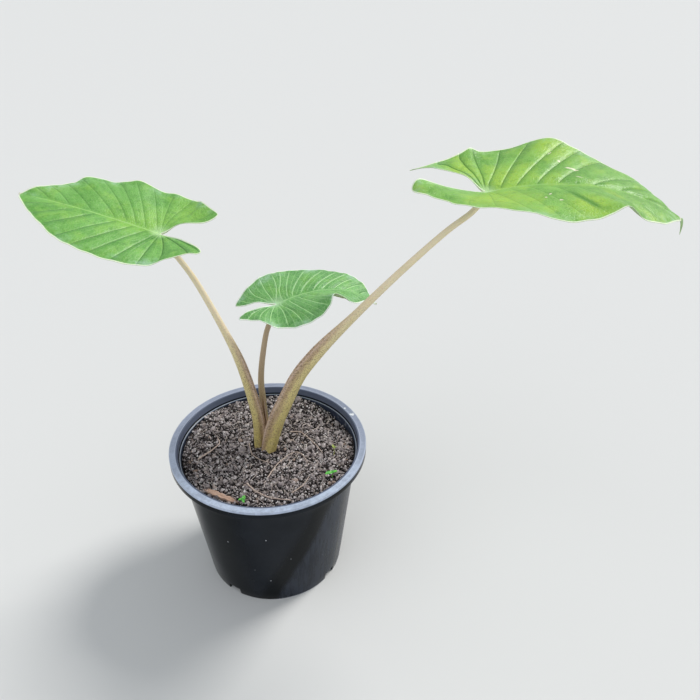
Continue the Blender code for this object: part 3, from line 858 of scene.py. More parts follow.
class Bench:
    """Modelling steps that the pieces share."""

    @staticmethod
    def clear() -> None:
        """Leave edit mode and deselect everything."""
        if bpy.context.object is not None and bpy.context.object.mode != "OBJECT":
            bpy.ops.object.mode_set(mode="OBJECT")
        bpy.ops.object.select_all(action="DESELECT")

    @staticmethod
    def select(obj: Piece) -> None:
        """Make one object the only selected and active one."""
        Bench.clear()
        obj.select_set(True)
        bpy.context.view_layer.objects.active = obj

    @staticmethod
    def sheet(name: str, columns: int, rows: int, place: Place) -> Piece:
        """Add a grid and move each of its points to its place.

        Args:
            name: The object's name.
            columns: Faces across the grid.
            rows: Faces along the grid.
            place: Gives the points' places from their two shares of the grid, 0 to 1.

        Returns:
            The shaped sheet.
        """
        Bench.clear()
        bpy.ops.mesh.primitive_grid_add(x_subdivisions=columns, y_subdivisions=rows, size=1.0)
        obj = bpy.context.object
        obj.name = name
        obj.data.name = name
        flat = Bench.points(obj)
        Bench.move(obj, place(flat[:, 0] + 0.5, flat[:, 1] + 0.5))
        return obj

    @staticmethod
    def points(obj: Piece, what: str = "co") -> Array:
        """Return the mesh's points, or its normals at them."""
        flat = np.empty(len(obj.data.vertices) * 3)
        obj.data.vertices.foreach_get(what, flat)
        return flat.reshape(-1, 3)

    @staticmethod
    def move(obj: Piece, points: Array) -> None:
        """Move the mesh's points."""
        obj.data.vertices.foreach_set("co", np.ascontiguousarray(points, np.float32).ravel())
        obj.data.update()

    @staticmethod
    def store(obj: Piece, **values: Array) -> None:
        """Store numbers at the points of the mesh, by name."""
        for name, numbers in values.items():
            layer = obj.data.attributes.new(name, "FLOAT", "POINT")
            layer.data.foreach_set("value", np.ascontiguousarray(numbers, np.float32))

    @staticmethod
    def stored(obj: Piece, *names: str) -> Array:
        """Return the numbers stored at the mesh's points, one row for each name."""
        found = np.empty((len(names), len(obj.data.vertices)))
        for row, name in zip(found, names):
            obj.data.attributes[name].data.foreach_get("value", row)
        return found

    @staticmethod
    def edit(obj: Piece, *steps: Callable[[], object]) -> None:
        """Run edit-mode steps on the whole mesh.

        Args:
            obj: The object to edit.
            *steps: Operator calls; each finds everything selected.
        """
        Bench.select(obj)
        bpy.ops.object.mode_set(mode="EDIT")
        for step in steps:
            bpy.ops.mesh.select_all(action="SELECT")
            step()
        bpy.ops.object.mode_set(mode="OBJECT")

    @staticmethod
    def weld(obj: Piece, distance: float = 0.004 * MM) -> None:
        """Merge points that lie on each other."""
        Bench.edit(obj, lambda: bpy.ops.mesh.remove_doubles(threshold=distance))

    @staticmethod
    def close(obj: Piece) -> None:
        """Weld a body, fill its open ends and turn its faces outwards."""
        Bench.weld(obj)
        Bench.edit(
            obj,
            lambda: bpy.ops.mesh.fill_holes(sides=0),
            lambda: bpy.ops.mesh.normals_make_consistent(inside=False),
        )

    @staticmethod
    def modify(obj: Piece, kind: str, **settings: object) -> None:
        """Add a modifier, set it and apply it."""
        Bench.select(obj)
        modifier = obj.modifiers.new(kind.lower(), kind)
        for key, value in settings.items():
            setattr(modifier, key, value)
        bpy.ops.object.modifier_apply(modifier=modifier.name)

    @staticmethod
    def join(obj: Piece, others: Sequence[Piece]) -> Piece:
        """Join other meshes into one object."""
        Bench.select(obj)
        for other in others:
            other.select_set(True)
        bpy.ops.object.join()
        return obj

    @staticmethod
    def place_piece(
        obj: Piece,
        name: str,
        material: Material,
        slot: Slot,
        replaces: Sequence[str] = (),
        sharp: float = 60.0,
    ) -> None:
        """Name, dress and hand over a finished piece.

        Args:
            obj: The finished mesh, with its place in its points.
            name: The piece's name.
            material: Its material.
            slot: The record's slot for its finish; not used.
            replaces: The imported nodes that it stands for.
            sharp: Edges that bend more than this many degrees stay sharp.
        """
        Bench.select(obj)
        bpy.ops.object.shade_smooth_by_angle(angle=math.radians(sharp))
        obj.name = name
        obj.data.name = name
        obj.data.materials.clear()
        obj.data.materials.append(material)
        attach(obj, BODY)
        if replaces:
            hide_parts(*replaces)
        log.info("%s: %d faces", name, len(obj.data.polygons))


def smooth_curve(points: Array, stations: Array) -> Array:
    """Read a Catmull-Rom curve through points at stations counted in points.

    Args:
        points: The curve's points, one a row.
        stations: Where to read it; 1.5 is half way from the second point to the third.

    Returns:
        One point for each station.
    """
    first = 2.0 * points[0] - points[1]
    last = 2.0 * points[-1] - points[-2]
    padded = np.vstack([first, points, last])
    stations = np.atleast_1d(stations)
    index = np.clip(stations.astype(int), 0, len(points) - 2)
    t = (stations - index)[:, None]
    before, start, end, after = (padded[index + shift] for shift in range(4))
    linear = (end - before) * t
    square = (2.0 * before - 5.0 * start + 4.0 * end - after) * t**2
    cube = (3.0 * start - before - 3.0 * end + after) * t**3
    return start + 0.5 * (linear + square + cube)


def even_stations(points: Array, shares: Array) -> Array:
    """Return the stations at given shares of a smooth curve's length."""
    fine = np.linspace(0.0, len(points) - 1.0, 60 * len(points))
    steps = np.linalg.norm(np.diff(smooth_curve(points, fine), axis=0), axis=1)
    run = np.concatenate([[0.0], np.cumsum(steps)])
    return np.interp(shares * run[-1], run, fine)


def unit(vectors: Array) -> Array:
    """Return vectors at length one."""
    return vectors / np.maximum(np.linalg.norm(vectors, axis=-1, keepdims=True), 1e-12)


def hill(values: Array, width: float) -> Array:
    """Return a bell of height one around zero."""
    return np.exp(-((values / width) ** 2))


def ease(values: Array, low: float, high: float) -> Array:
    """Return a smooth step from 0 at low to 1 at high."""
    t = np.clip((values - low) / (high - low), 0.0, 1.0)
    return t * t * (3.0 - 2.0 * t)


def noise_at(points: Array, size: float) -> Array:
    """Return smooth noise from -1 to 1 at points, with features of the given size."""
    return np.array([noise.noise(Vector(point / size)) for point in points])


def tube(
    name: str, path: Array, radii: Array, sides: int, swell: Callable[[Array], Array] | None = None
) -> Piece:
    """Build a closed round tube along a path.

    Args:
        name: The object's name.
        path: Its centre points, one for each ring.
        radii: The radius at each ring.
        sides: Points of each ring.
        swell: Changes to the radius, from the points' places, as shares of it.

    Returns:
        The closed tube.
    """
    rings = len(path)
    run = unit(np.gradient(path, axis=0))
    side = unit(np.cross(np.array([0.0, 0.0, 1.0]) + 0.05 * run[:, ::-1], run))
    top = np.cross(run, side)

    def place(turn: Array, share: Array) -> Array:
        """Place the tube's points."""
        row = np.rint(share * (rings - 1)).astype(int)
        angle = 2.0 * math.pi * turn
        spoke = np.cos(angle)[:, None] * side[row] + np.sin(angle)[:, None] * top[row]
        points = path[row] + radii[row][:, None] * spoke
        if swell is not None:
            points = path[row] + (radii[row] * (1.0 + swell(points)))[:, None] * spoke
        return points

    obj = Bench.sheet(name, sides, rings - 1, place)
    Bench.close(obj)
    return obj


@dataclass
class NurseryPot:
    """Round nursery pot with a skirted rim, a stacking ledge, a foot ring and drain slots."""

    height: float = 0.158
    rim_radius: float = 0.100
    rim_band: float = 0.008
    lip_height: float = 0.0085
    lip_thickness: float = 0.0016
    edge_rounding: float = 0.0008
    wall: float = 0.0015
    base_radius: float = 0.072
    shoulder_height: float = 0.141
    shoulder_radius: float = 0.0895
    collar_step: float = 0.0018
    ledge_height: float = 0.150
    floor_thickness: float = 0.002
    foot_height: float = 0.0035
    foot_width: float = 0.004
    pad_radius: float = 0.016
    drain_angles: tuple[float, ...] = (-33.0, 57.0, 147.0, 237.0)
    drain_size: Point = (0.018, 0.014, 0.015)
    segments: int = 192
    rim_dish: float = 0.00035
    wall_wave: float = 0.00022

    @property
    def floor_top(self) -> float:
        """Height of the inside floor."""
        return self.foot_height + self.floor_thickness

    def inner_radius(self, height: Array) -> Array:
        """Return the wall's inner radius below the ledge."""
        share = (height - self.floor_top) / (self.shoulder_height - self.floor_top)
        low = self.base_radius - self.wall
        return low + (self.shoulder_radius - self.base_radius) * share

    def profile(self) -> list[tuple[float, float]]:
        """Return the section, from under the centre to the inside floor."""
        rim_inner = self.rim_radius - self.rim_band
        lip_inner = self.rim_radius - self.lip_thickness
        under_rim = self.height - self.lip_thickness
        foot_inner = self.base_radius - self.foot_width
        low_dish = self.height - self.rim_dish
        near_axis = 0.4 * MM
        flare = self.shoulder_radius - self.base_radius
        outside = [
            (self.base_radius + flare * t, self.shoulder_height * t)
            for t in np.linspace(0.0, 1.0, 14)[1:]
        ]
        inside = [
            (float(self.inner_radius(z)), float(z))
            for z in np.linspace(self.ledge_height - self.edge_rounding, self.floor_top, 8)
        ]
        return [
            (near_axis, 0.0),
            (self.pad_radius, 0.0),
            (self.pad_radius + self.edge_rounding, self.foot_height),
            (foot_inner - self.edge_rounding, self.foot_height),
            (foot_inner, 0.0),
            (self.base_radius - 0.1 * MM, 0.0),
            *outside,
            (self.shoulder_radius + self.collar_step, self.shoulder_height + self.collar_step),
            (rim_inner + self.wall, under_rim),
            (lip_inner, under_rim),
            (lip_inner, self.height - self.lip_height),
            (self.rim_radius, self.height - self.lip_height),
            (self.rim_radius, self.height),
            (self.rim_radius - 1.2 * MM, self.height),
            (self.rim_radius - 2.4 * MM, low_dish),
            (rim_inner + 1.9 * MM, low_dish),
            (rim_inner + 0.9 * MM, self.height),
            (rim_inner, self.height),
            (rim_inner - self.edge_rounding, self.ledge_height),
            *inside,
            (near_axis, self.floor_top),
        ]

    def build(self) -> None:
        """Model and dress the pot."""
        pot = self._raise_rings()
        self._cut_drains(pot)
        Bench.modify(
            pot,
            "BEVEL",
            width=0.45 * MM,
            segments=3,
            limit_method="ANGLE",
            angle_limit=math.radians(32.0),
        )
        self._wave_wall(pot)
        finish = PotFinish(self)
        Bench.place_piece(pot, "nursery_pot", finish.material(), Slot.POT, ["pot"], 38.0)

    def _raise_rings(self) -> Piece:
        """Extrude a circle through the profile and close both poles."""
        profile = self.profile()
        radius, height = profile[0]
        Bench.clear()
        bpy.ops.mesh.primitive_circle_add(
            vertices=self.segments, radius=radius, fill_type="NGON", location=(0.0, 0.0, height)
        )
        pot = bpy.context.object
        bpy.ops.object.transform_apply(location=True, rotation=False, scale=False)
        bpy.ops.object.mode_set(mode="EDIT")
        bpy.ops.mesh.select_mode(type="EDGE")
        bpy.ops.mesh.select_all(action="SELECT")
        for next_radius, next_height in profile[1:]:
            bpy.ops.mesh.extrude_edges_move(
                TRANSFORM_OT_translate={"value": (0.0, 0.0, next_height - height)}
            )
            factor = next_radius / radius
            middle = (0.0, 0.0, next_height)
            bpy.ops.transform.resize(value=(factor, factor, 1.0), center_override=middle)
            radius, height = next_radius, next_height
        bpy.ops.mesh.edge_face_add()
        bpy.ops.mesh.select_all(action="SELECT")
        bpy.ops.mesh.normals_make_consistent(inside=False)
        bpy.ops.mesh.select_mode(type="VERT")
        bpy.ops.object.mode_set(mode="OBJECT")
        return pot

    def _cut_drains(self, pot: Piece) -> None:
        """Cut the drain slots at the foot of the wall."""
        for angle in self.drain_angles:
            turn = math.radians(angle)
            Bench.clear()
            bpy.ops.mesh.primitive_cube_add(
                size=1.0,
                scale=self.drain_size,
                location=(self.base_radius * math.cos(turn), self.base_radius * math.sin(turn), 0.0),
                rotation=(0.0, 0.0, turn),
            )
            cutter = bpy.context.object
            Bench.modify(pot, "BOOLEAN", object=cutter, operation="DIFFERENCE", solver="EXACT")
            bpy.data.objects.remove(cutter)

    def _wave_wall(self, pot: Piece) -> None:
        """Give the thin wall the slight waves that break its reflections."""
        points = Bench.points(pot)
        angle = np.arctan2(points[:, 1], points[:, 0])
        radius = np.hypot(points[:, 0], points[:, 1])
        z = points[:, 2]
        on_wall = ease(z, 0.012, 0.035) * (1.0 - ease(z, 0.112, 0.136))
        wave = np.sin(5.0 * angle + 0.8) + 0.7 * np.sin(9.0 * angle - 1.9 + 9.0 * z)
        wave += 0.5 * np.sin(14.0 * angle + 2.2)
        factor = 1.0 + self.wall_wave * wave * on_wall / np.maximum(radius, 0.02)
        points[:, :2] *= factor[:, None]
        Bench.move(pot, points)


@dataclass
class SoilSurface:
    """The soil's uneven top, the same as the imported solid's."""

    height: float = 0.147
    lump_height: float = 0.0013
    lump_size: float = 0.009
    mounds: tuple[tuple[float, float, float, float], ...] = (
        (-58, 42, 3.5, 26),
        (10, 80, 2.5, 25),
        (68, 45, -7.0, 22),
        (20, -62, 1.5, 30),
        (-62, -30, -1.5, 24),
    )
    hollow: tuple[float, float, float, float] = (19.0, -9.0, -3.2, 6.0)
    heap: tuple[float, float, float, float] = (1.0, -5.0, 5.5, 9.5)
    cleft_depth: float = 0.0024

    def heights(self, x: Array, y: Array) -> Array:
        """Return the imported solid's height at plan points."""
        z = np.full(len(x), self.height)
        for mound_x, mound_y, rise, spread in self.mounds:
            z += rise * MM * hill(np.hypot(x - mound_x * MM, y - mound_y * MM), spread * MM)
        plan = np.stack([x, y, np.zeros(len(x))], axis=1)
        z += self.lump_height * noise_at(plan, self.lump_size)
        z += 0.5 * self.lump_height * noise_at(plan, self.lump_size / 2.3)
        return z

    def dressed(self, x: Array, y: Array) -> Array:
        """Return the height with the dark hollow and finer crumbs added."""
        z = self.heights(x, y)
        for at_x, at_y, rise, spread in (self.hollow, self.heap):
            z += rise * MM * hill(np.hypot(x - at_x * MM, y - at_y * MM), spread * MM)
        plan = np.stack([x, y, np.full(len(x), 0.3)], axis=1)
        z += 0.7 * MM - self.cleft_depth * hill(noise_at(plan, 0.0085), 0.13)
        z += 1.1 * MM * noise_at(plan, 0.0060)
        return z + 0.60 * MM * noise_at(plan, 0.0021) + 0.35 * MM * noise_at(plan, 0.0011)


@dataclass(frozen=True)
class GrainLayer:
    """One size of grains: spacing and sizes in millimetres, tints from 0 dark to 1 pale."""

    name: str
    spacing: float
    sizes: tuple[float, float]
    tints: tuple[float, float]
    stand: tuple[float, float]
    subdivisions: int
    filled: float


@dataclass
class PottingMix:
    """Soil body, a loose collar round the stalks, and grains in several sizes."""

    pot: NurseryPot
    surface: SoilSurface
    clearance: float = 0.0006
    hole_centre: tuple[float, float] = (-0.003, 0.004)
    hole_radius: float = 0.0172
    hole_floor: float = 0.108
    collar_floor: float = 0.1416
    floor_gap: float = 0.0003
    columns: int = 320
    rows: int = 100
    hole_rows: int = 4
    wall_rows: int = 6
    grain_shapes: int = 7
    grain_reach: float = 0.092
    stalk_feet: tuple[Point, ...] = (
        (-0.0095, 0.0055, 0.0052),
        (0.0015, -0.0035, 0.0062),
        (-0.001, 0.0135, 0.004),
    )
    seed: int = 7
    layers: tuple[GrainLayer, ...] = (
        GrainLayer("grit_clods", 11.0, (4.5, 8.5), (0.40, 0.62), (-0.50, 0.05), 3, 0.5),
        GrainLayer("grit_lumps", 4.8, (2.4, 4.8), (0.36, 0.86), (-0.15, 0.40), 2, 0.7),
        GrainLayer("grit_crumbs", 2.3, (1.0, 2.9), (0.18, 1.02), (-0.05, 0.75), 1, 0.72),
        GrainLayer("grit_flecks", 1.7, (0.45, 1.4), (0.40, 1.15), (0.20, 1.3), 1, 0.6),
    )

    def build(self, roots: Sequence[Array]) -> None:
        """Model and dress the soil.

        Args:
            roots: The paths of the roots that lie on it, which the grains keep clear of.
        """
        self.root_points = np.vstack(roots)
        self._body()
        self._collar()
        for layer in self.layers:
            self._grains(layer)

    def _body(self) -> None:
        """Soil that fills the pot, with the plain hole for the plant."""
        pot, surface = self.pot, self.surface
        floor = pot.floor_top + self.floor_gap

        def place(turn: Array, share: Array) -> Array:
            """Run each column from the hole's floor, over the top and down the wall."""
            angle = 2.0 * math.pi * turn
            circle = np.stack([np.cos(angle), np.sin(angle)], axis=1)
            hole = self.hole_radius * circle + self.hole_centre
            brim = (pot.inner_radius(surface.height) - self.clearance) * circle
            brim_z = surface.heights(brim[:, 0], brim[:, 1])
            brim_z = np.minimum(brim_z, pot.ledge_height - 0.4 * MM)
            edge = (pot.inner_radius(brim_z) - self.clearance)[:, None] * circle
            foot = (pot.inner_radius(floor) - self.clearance) * circle
            row = np.rint(share * self.rows).astype(int)
            top_rows = self.rows - self.hole_rows - self.wall_rows
            out = np.clip((row - self.hole_rows) / top_rows, 0.0, 1.0)
            plan = hole + (edge - hole) * out[:, None]
            z = surface.dressed(plan[:, 0], plan[:, 1])
            down = np.clip((row - (self.rows - self.wall_rows)) / self.wall_rows, 0.0, 1.0)
            plan = plan + (foot - edge) * down[:, None]
            z = z + (floor - z) * down
            up = np.clip(row / self.hole_rows, 0.0, 1.0)
            z = np.where(row < self.hole_rows, self.hole_floor + (z - self.hole_floor) * up, z)
            return np.column_stack([plan, z])

        body = Bench.sheet("soil_body", self.columns, self.rows, place)
        self._dress(body, "potting_mix_body", ["soil"])

    def _dress(self, part: Piece, name: str, replaces: Sequence[str] = ()) -> None:
        """Close a part of the soil and hand it over.

        Args:
            part: The part's open mesh.
            name: The piece's name.
            replaces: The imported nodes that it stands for.
        """
        Bench.close(part)
        Bench.place_piece(part, name, HumusFinish().material(), Slot.SOIL, replaces)

    def _collar(self) -> None:
        """Loose soil that closes the hole round the stalks."""
        reach = self.hole_radius + 0.8 * MM

        def place(turn: Array, share: Array) -> Array:
            """Place a low dome over the hole, then its underside."""
            angle = 2.0 * math.pi * turn
            radius = reach * np.where(share < 0.5, 2.0 * share, 2.0 - 2.0 * share)
            x = self.hole_centre[0] + radius * np.cos(angle)
            y = self.hole_centre[1] + radius * np.sin(angle)
            top = self.surface.dressed(x, y) + 0.5 * MM
            z = np.where(share <= 0.5, top, self.collar_floor)
            return np.column_stack([x, y, z])

        collar = Bench.sheet("soil_collar", 96, 40, place)
        self._dress(collar, "potting_mix_collar")

    def _grain_shapes(self, subdivisions: int) -> list[tuple[Array, Array]]:
        """Model the knobby grains that are copied.

        Args:
            subdivisions: How finely each grain is divided.

        Returns:
            Points and triangles of each grain, about one unit across.
        """
        shapes = []
        for number in range(self.grain_shapes):
            Bench.clear()
            bpy.ops.mesh.primitive_ico_sphere_add(subdivisions=subdivisions, radius=0.5)
            grain = bpy.context.object
            points = Bench.points(grain)
            shifted = points + 7.3 * number
            bulge = 1.0 + 0.34 * noise_at(shifted, 0.42) + 0.20 * noise_at(shifted, 0.21)
            squash = np.array([1.0, 0.78, 0.62]) if number % 2 else np.array([1.0, 0.9, 0.72])
            faces = np.array([tuple(p.vertices) for p in grain.data.polygons])
            shapes.append((points * bulge[:, None] * squash, faces))
            bpy.data.objects.remove(grain)
        return shapes

    def _grains(self, layer: GrainLayer) -> None:
        """Scatter copies of the grains over the soil as one piece."""
        seed = self.seed + len(layer.name) * 31 + int(layer.spacing * 100)
        rng = np.random.default_rng(seed)
        plan = self._scatter(rng, layer.spacing * MM, layer.filled)
        count = len(plan)

        def spread(limits: tuple[float, float], shares: Array) -> Array:
            """Return values between two limits."""
            return limits[0] + (limits[1] - limits[0]) * shares

        size = spread(layer.sizes, rng.random(count) ** 1.6) * MM
        z = self.surface.dressed(plan[:, 0], plan[:, 1])
        z += size * spread(layer.stand, rng.random(count)) * 0.5
        z = self._below_roots(plan, z, size)
        z = np.minimum(z, self.pot.height - 2.0 * MM)
        patch = noise_at(np.column_stack([plan, np.full(count, 0.9)]), 0.013)
        tint = spread(layer.tints, np.clip(rng.random(count) ** 1.25 + 0.22 * patch, 0, 1))
        warmth = np.where(rng.random(count) < 0.07, rng.random(count), 0.0)
        shapes = self._grain_shapes(layer.subdivisions)
        kind = rng.integers(0, len(shapes), count)
        turns = self._random_turns(rng, count)
        points, faces, owners = [], [], []
        offset = 0
        for number, (shape, triangles) in enumerate(shapes):
            chosen = np.flatnonzero(kind == number)
            local = np.einsum("nij,pj->npi", turns[chosen], shape) * size[chosen][:, None, None]
            centre = np.column_stack([plan[chosen], z[chosen]])
            points.append((local + centre[:, None, :]).reshape(-1, 3))
            starts = offset + len(shape) * np.arange(len(chosen))
            faces.append((triangles[None] + starts[:, None, None]).reshape(-1, 3))
            owners.append(np.repeat(chosen, len(shape)))
            offset += len(shape) * len(chosen)
        owner = np.concatenate(owners)
        mesh = bpy.data.meshes.new(layer.name)
        mesh.from_pydata(np.vstack(points).tolist(), [], np.vstack(faces).tolist())
        obj = bpy.data.objects.new(layer.name, mesh)
        bpy.context.scene.collection.objects.link(obj)
        Bench.store(obj, tint=tint[owner], warmth=warmth[owner])
        finish = GritFinish(layer.name, sum(layer.sizes) / 2.0 * MM)
        Bench.place_piece(obj, layer.name, finish.material(), Slot.SOIL, (), 75.0)

    def _scatter(self, rng: np.random.Generator, spacing: float, share: float) -> Array:
        """Return plan points inside the pot on a shaken triangular grid.

        Args:
            rng: The source of chance.
            spacing: Distance between neighbours.
            share: How many of the points stay.

        Returns:
            The points that lie on soil, clear of the stalks.
        """
        columns = np.arange(-self.grain_reach, self.grain_reach, spacing)
        lines = np.arange(-self.grain_reach, self.grain_reach, spacing * 0.866)
        grid_x, grid_y = np.meshgrid(columns, lines)
        grid_x[::2] += 0.5 * spacing
        plan = np.stack([grid_x.ravel(), grid_y.ravel()], axis=1)
        plan += (rng.random(plan.shape) - 0.5) * 0.9 * spacing
        edge = self.pot.inner_radius(self.surface.height) - self.clearance - 0.28 * spacing
        radius = np.hypot(plan[:, 0], plan[:, 1])
        kept = (radius < edge) & (rng.random(len(plan)) < share)
        for x, y, keep_out in self.stalk_feet:
            kept &= np.hypot(plan[:, 0] - x, plan[:, 1] - y) > keep_out
        return plan[kept]

    def _below_roots(self, plan: Array, z: Array, size: Array) -> Array:
        """Lower the grains that would bury a root."""
        for start in range(0, len(plan), 2000):
            part = slice(start, start + 2000)
            gap = np.linalg.norm(plan[part, None, :] - self.root_points[None, :, :2], axis=2)
            nearest = gap.argmin(axis=1)
            cap = self.root_points[nearest, 2] - 0.55 * size[part]
            near = gap.min(axis=1) < 0.5 * size[part] + 0.9 * MM
            z[part] = np.where(near, np.minimum(z[part], cap), z[part])
        return z

    @staticmethod
    def _random_turns(rng: np.random.Generator, count: int) -> Array:
        """Return random rotations."""
        axis = unit(rng.normal(size=(count, 3)))
        second = unit(np.cross(axis, rng.normal(size=(count, 3))))
        third = np.cross(axis, second)
        return np.stack([axis, second, third], axis=2)


@dataclass
class RootHairs:
    """Fine dry root hairs scattered over the soil."""

    surface: SoilSurface
    count: int = 430
    reach: float = 0.082
    limit: float = 0.086
    points: int = 9
    lift: float = 0.0019
    seed: int = 12

    def build(self) -> None:
        """Model and dress the hairs as one piece."""
        rng = np.random.default_rng(self.seed)
        share = np.linspace(0.0, 1.0, self.points)
        hairs = []
        for number in range(self.count):
            radius = self.reach * math.sqrt(rng.random())
            angle = rng.random() * 2.0 * math.pi
            start = np.array([radius * math.cos(angle), radius * math.sin(angle)])
            heading = rng.random() * 2.0 * math.pi
            length = (3.0 + 13.0 * rng.random() ** 2) * MM
            turning = heading + (rng.random() - 0.5) * 5.0 * share
            steps = np.stack([np.cos(turning), np.sin(turning)], axis=1) * length / (self.points - 1)
            plan = start + np.cumsum(steps, axis=0)
            if np.hypot(plan[:, 0], plan[:, 1]).max() > self.limit:
                continue
            lift = self.lift + 2.4 * MM * np.sin(math.pi * share) * rng.random()
            z = self.surface.heights(plan[:, 0], plan[:, 1]) + lift
            radii = (0.16 + 0.22 * rng.random() ** 2) * MM * (1.0 - 0.5 * share)
            hairs.append(tube(f"hair_{number}", np.column_stack([plan, z]), radii, 4))
        hair = Bench.join(hairs[0], hairs[1:])
        pale, deep, crack = (0.80, 0.70, 0.65), (0.56, 0.46, 0.41), (0.22, 0.16, 0.14)
        finish = FibreFinish("dry_fibre", pale, deep, crack, 0.0006)
        Bench.place_piece(hair, "root_hairs", finish.material(), Slot.ROOT)


@dataclass
class SurfaceRoots:
    """Thin dry roots that lie on the soil."""

    surface: SoilSurface
    lift: float = 0.0011
    plans: tuple[tuple[str, float, tuple[tuple[float, float], ...]], ...] = (
        ("root_front", 0.8, ((-17, -51), (-7, -63), (8, -72), (30, -76))),
        ("root_right", 0.6, ((20, 25), (30, 26), (42, 14), (56, -7))),
        ("root_base", 0.6, ((-21, 7), (-16, -9), (-7, -18), (4, -22))),
        ("root_loop", 0.6, ((3, -44), (11, -24), (24, -8), (34, -9), (42, -24))),
        ("root_left", 0.9, ((-70, -16), (-60, -5), (-52, 6), (-55, 16))),
        ("root_corner", 0.6, ((28, -66), (38, -55), (44, -42))),
    )

    def paths(self) -> dict[str, Array]:
        """Return the centre line of each root, by its node's name."""
        found = {}
        for name, radius, plan in self.plans:
            points = np.array(plan, dtype=float) * MM
            length = np.linalg.norm(np.diff(points, axis=0), axis=1).sum()
            count = max(12, round(length / (1.3 * MM)))
            line = smooth_curve(points, even_stations(points, np.linspace(0.0, 1.0, count)))
            z = self.surface.heights(line[:, 0], line[:, 1]) + radius * MM + self.lift
            z = np.convolve(np.pad(z, 4, mode="edge"), np.full(9, 1.0 / 9.0), mode="valid")
            centre = np.column_stack([line, z])
            centre += 0.35 * MM * np.column_stack(
                [noise_at(centre + shift, 0.006) for shift in (0.0, 0.31, 0.77)]
            )
            found[name] = centre
        return found

    def build(self) -> None:
        """Model and dress the roots."""
        pale, deep, crack = (0.68, 0.56, 0.49), (0.44, 0.33, 0.28), (0.16, 0.11, 0.09)
        material = FibreFinish("root_skin", pale, deep, crack, 0.0007).material()
        for (name, radius, _), path in zip(self.plans, self.paths().values()):
            share = np.linspace(0.0, 1.0, len(path))
            radii = radius * MM * (1.0 - 0.45 * share) * (1.0 - 0.6 * ease(share, 0.93, 1.0))
            root = tube(name, path, radii, 10, lambda points: 0.22 * noise_at(points, 0.0016))
            Bench.place_piece(root, f"fine_{name}", material, Slot.ROOT, [name])


@dataclass(frozen=True)
class HalfBlade:
    """One side of a blade: how it folds, its outline, and where its veins run."""

    fold: float
    curl: float
    lobe_lift: float
    outline: tuple[tuple[float, float, float], ...]
    veins: tuple[tuple[float, float], ...]
    relief: float = 1.0


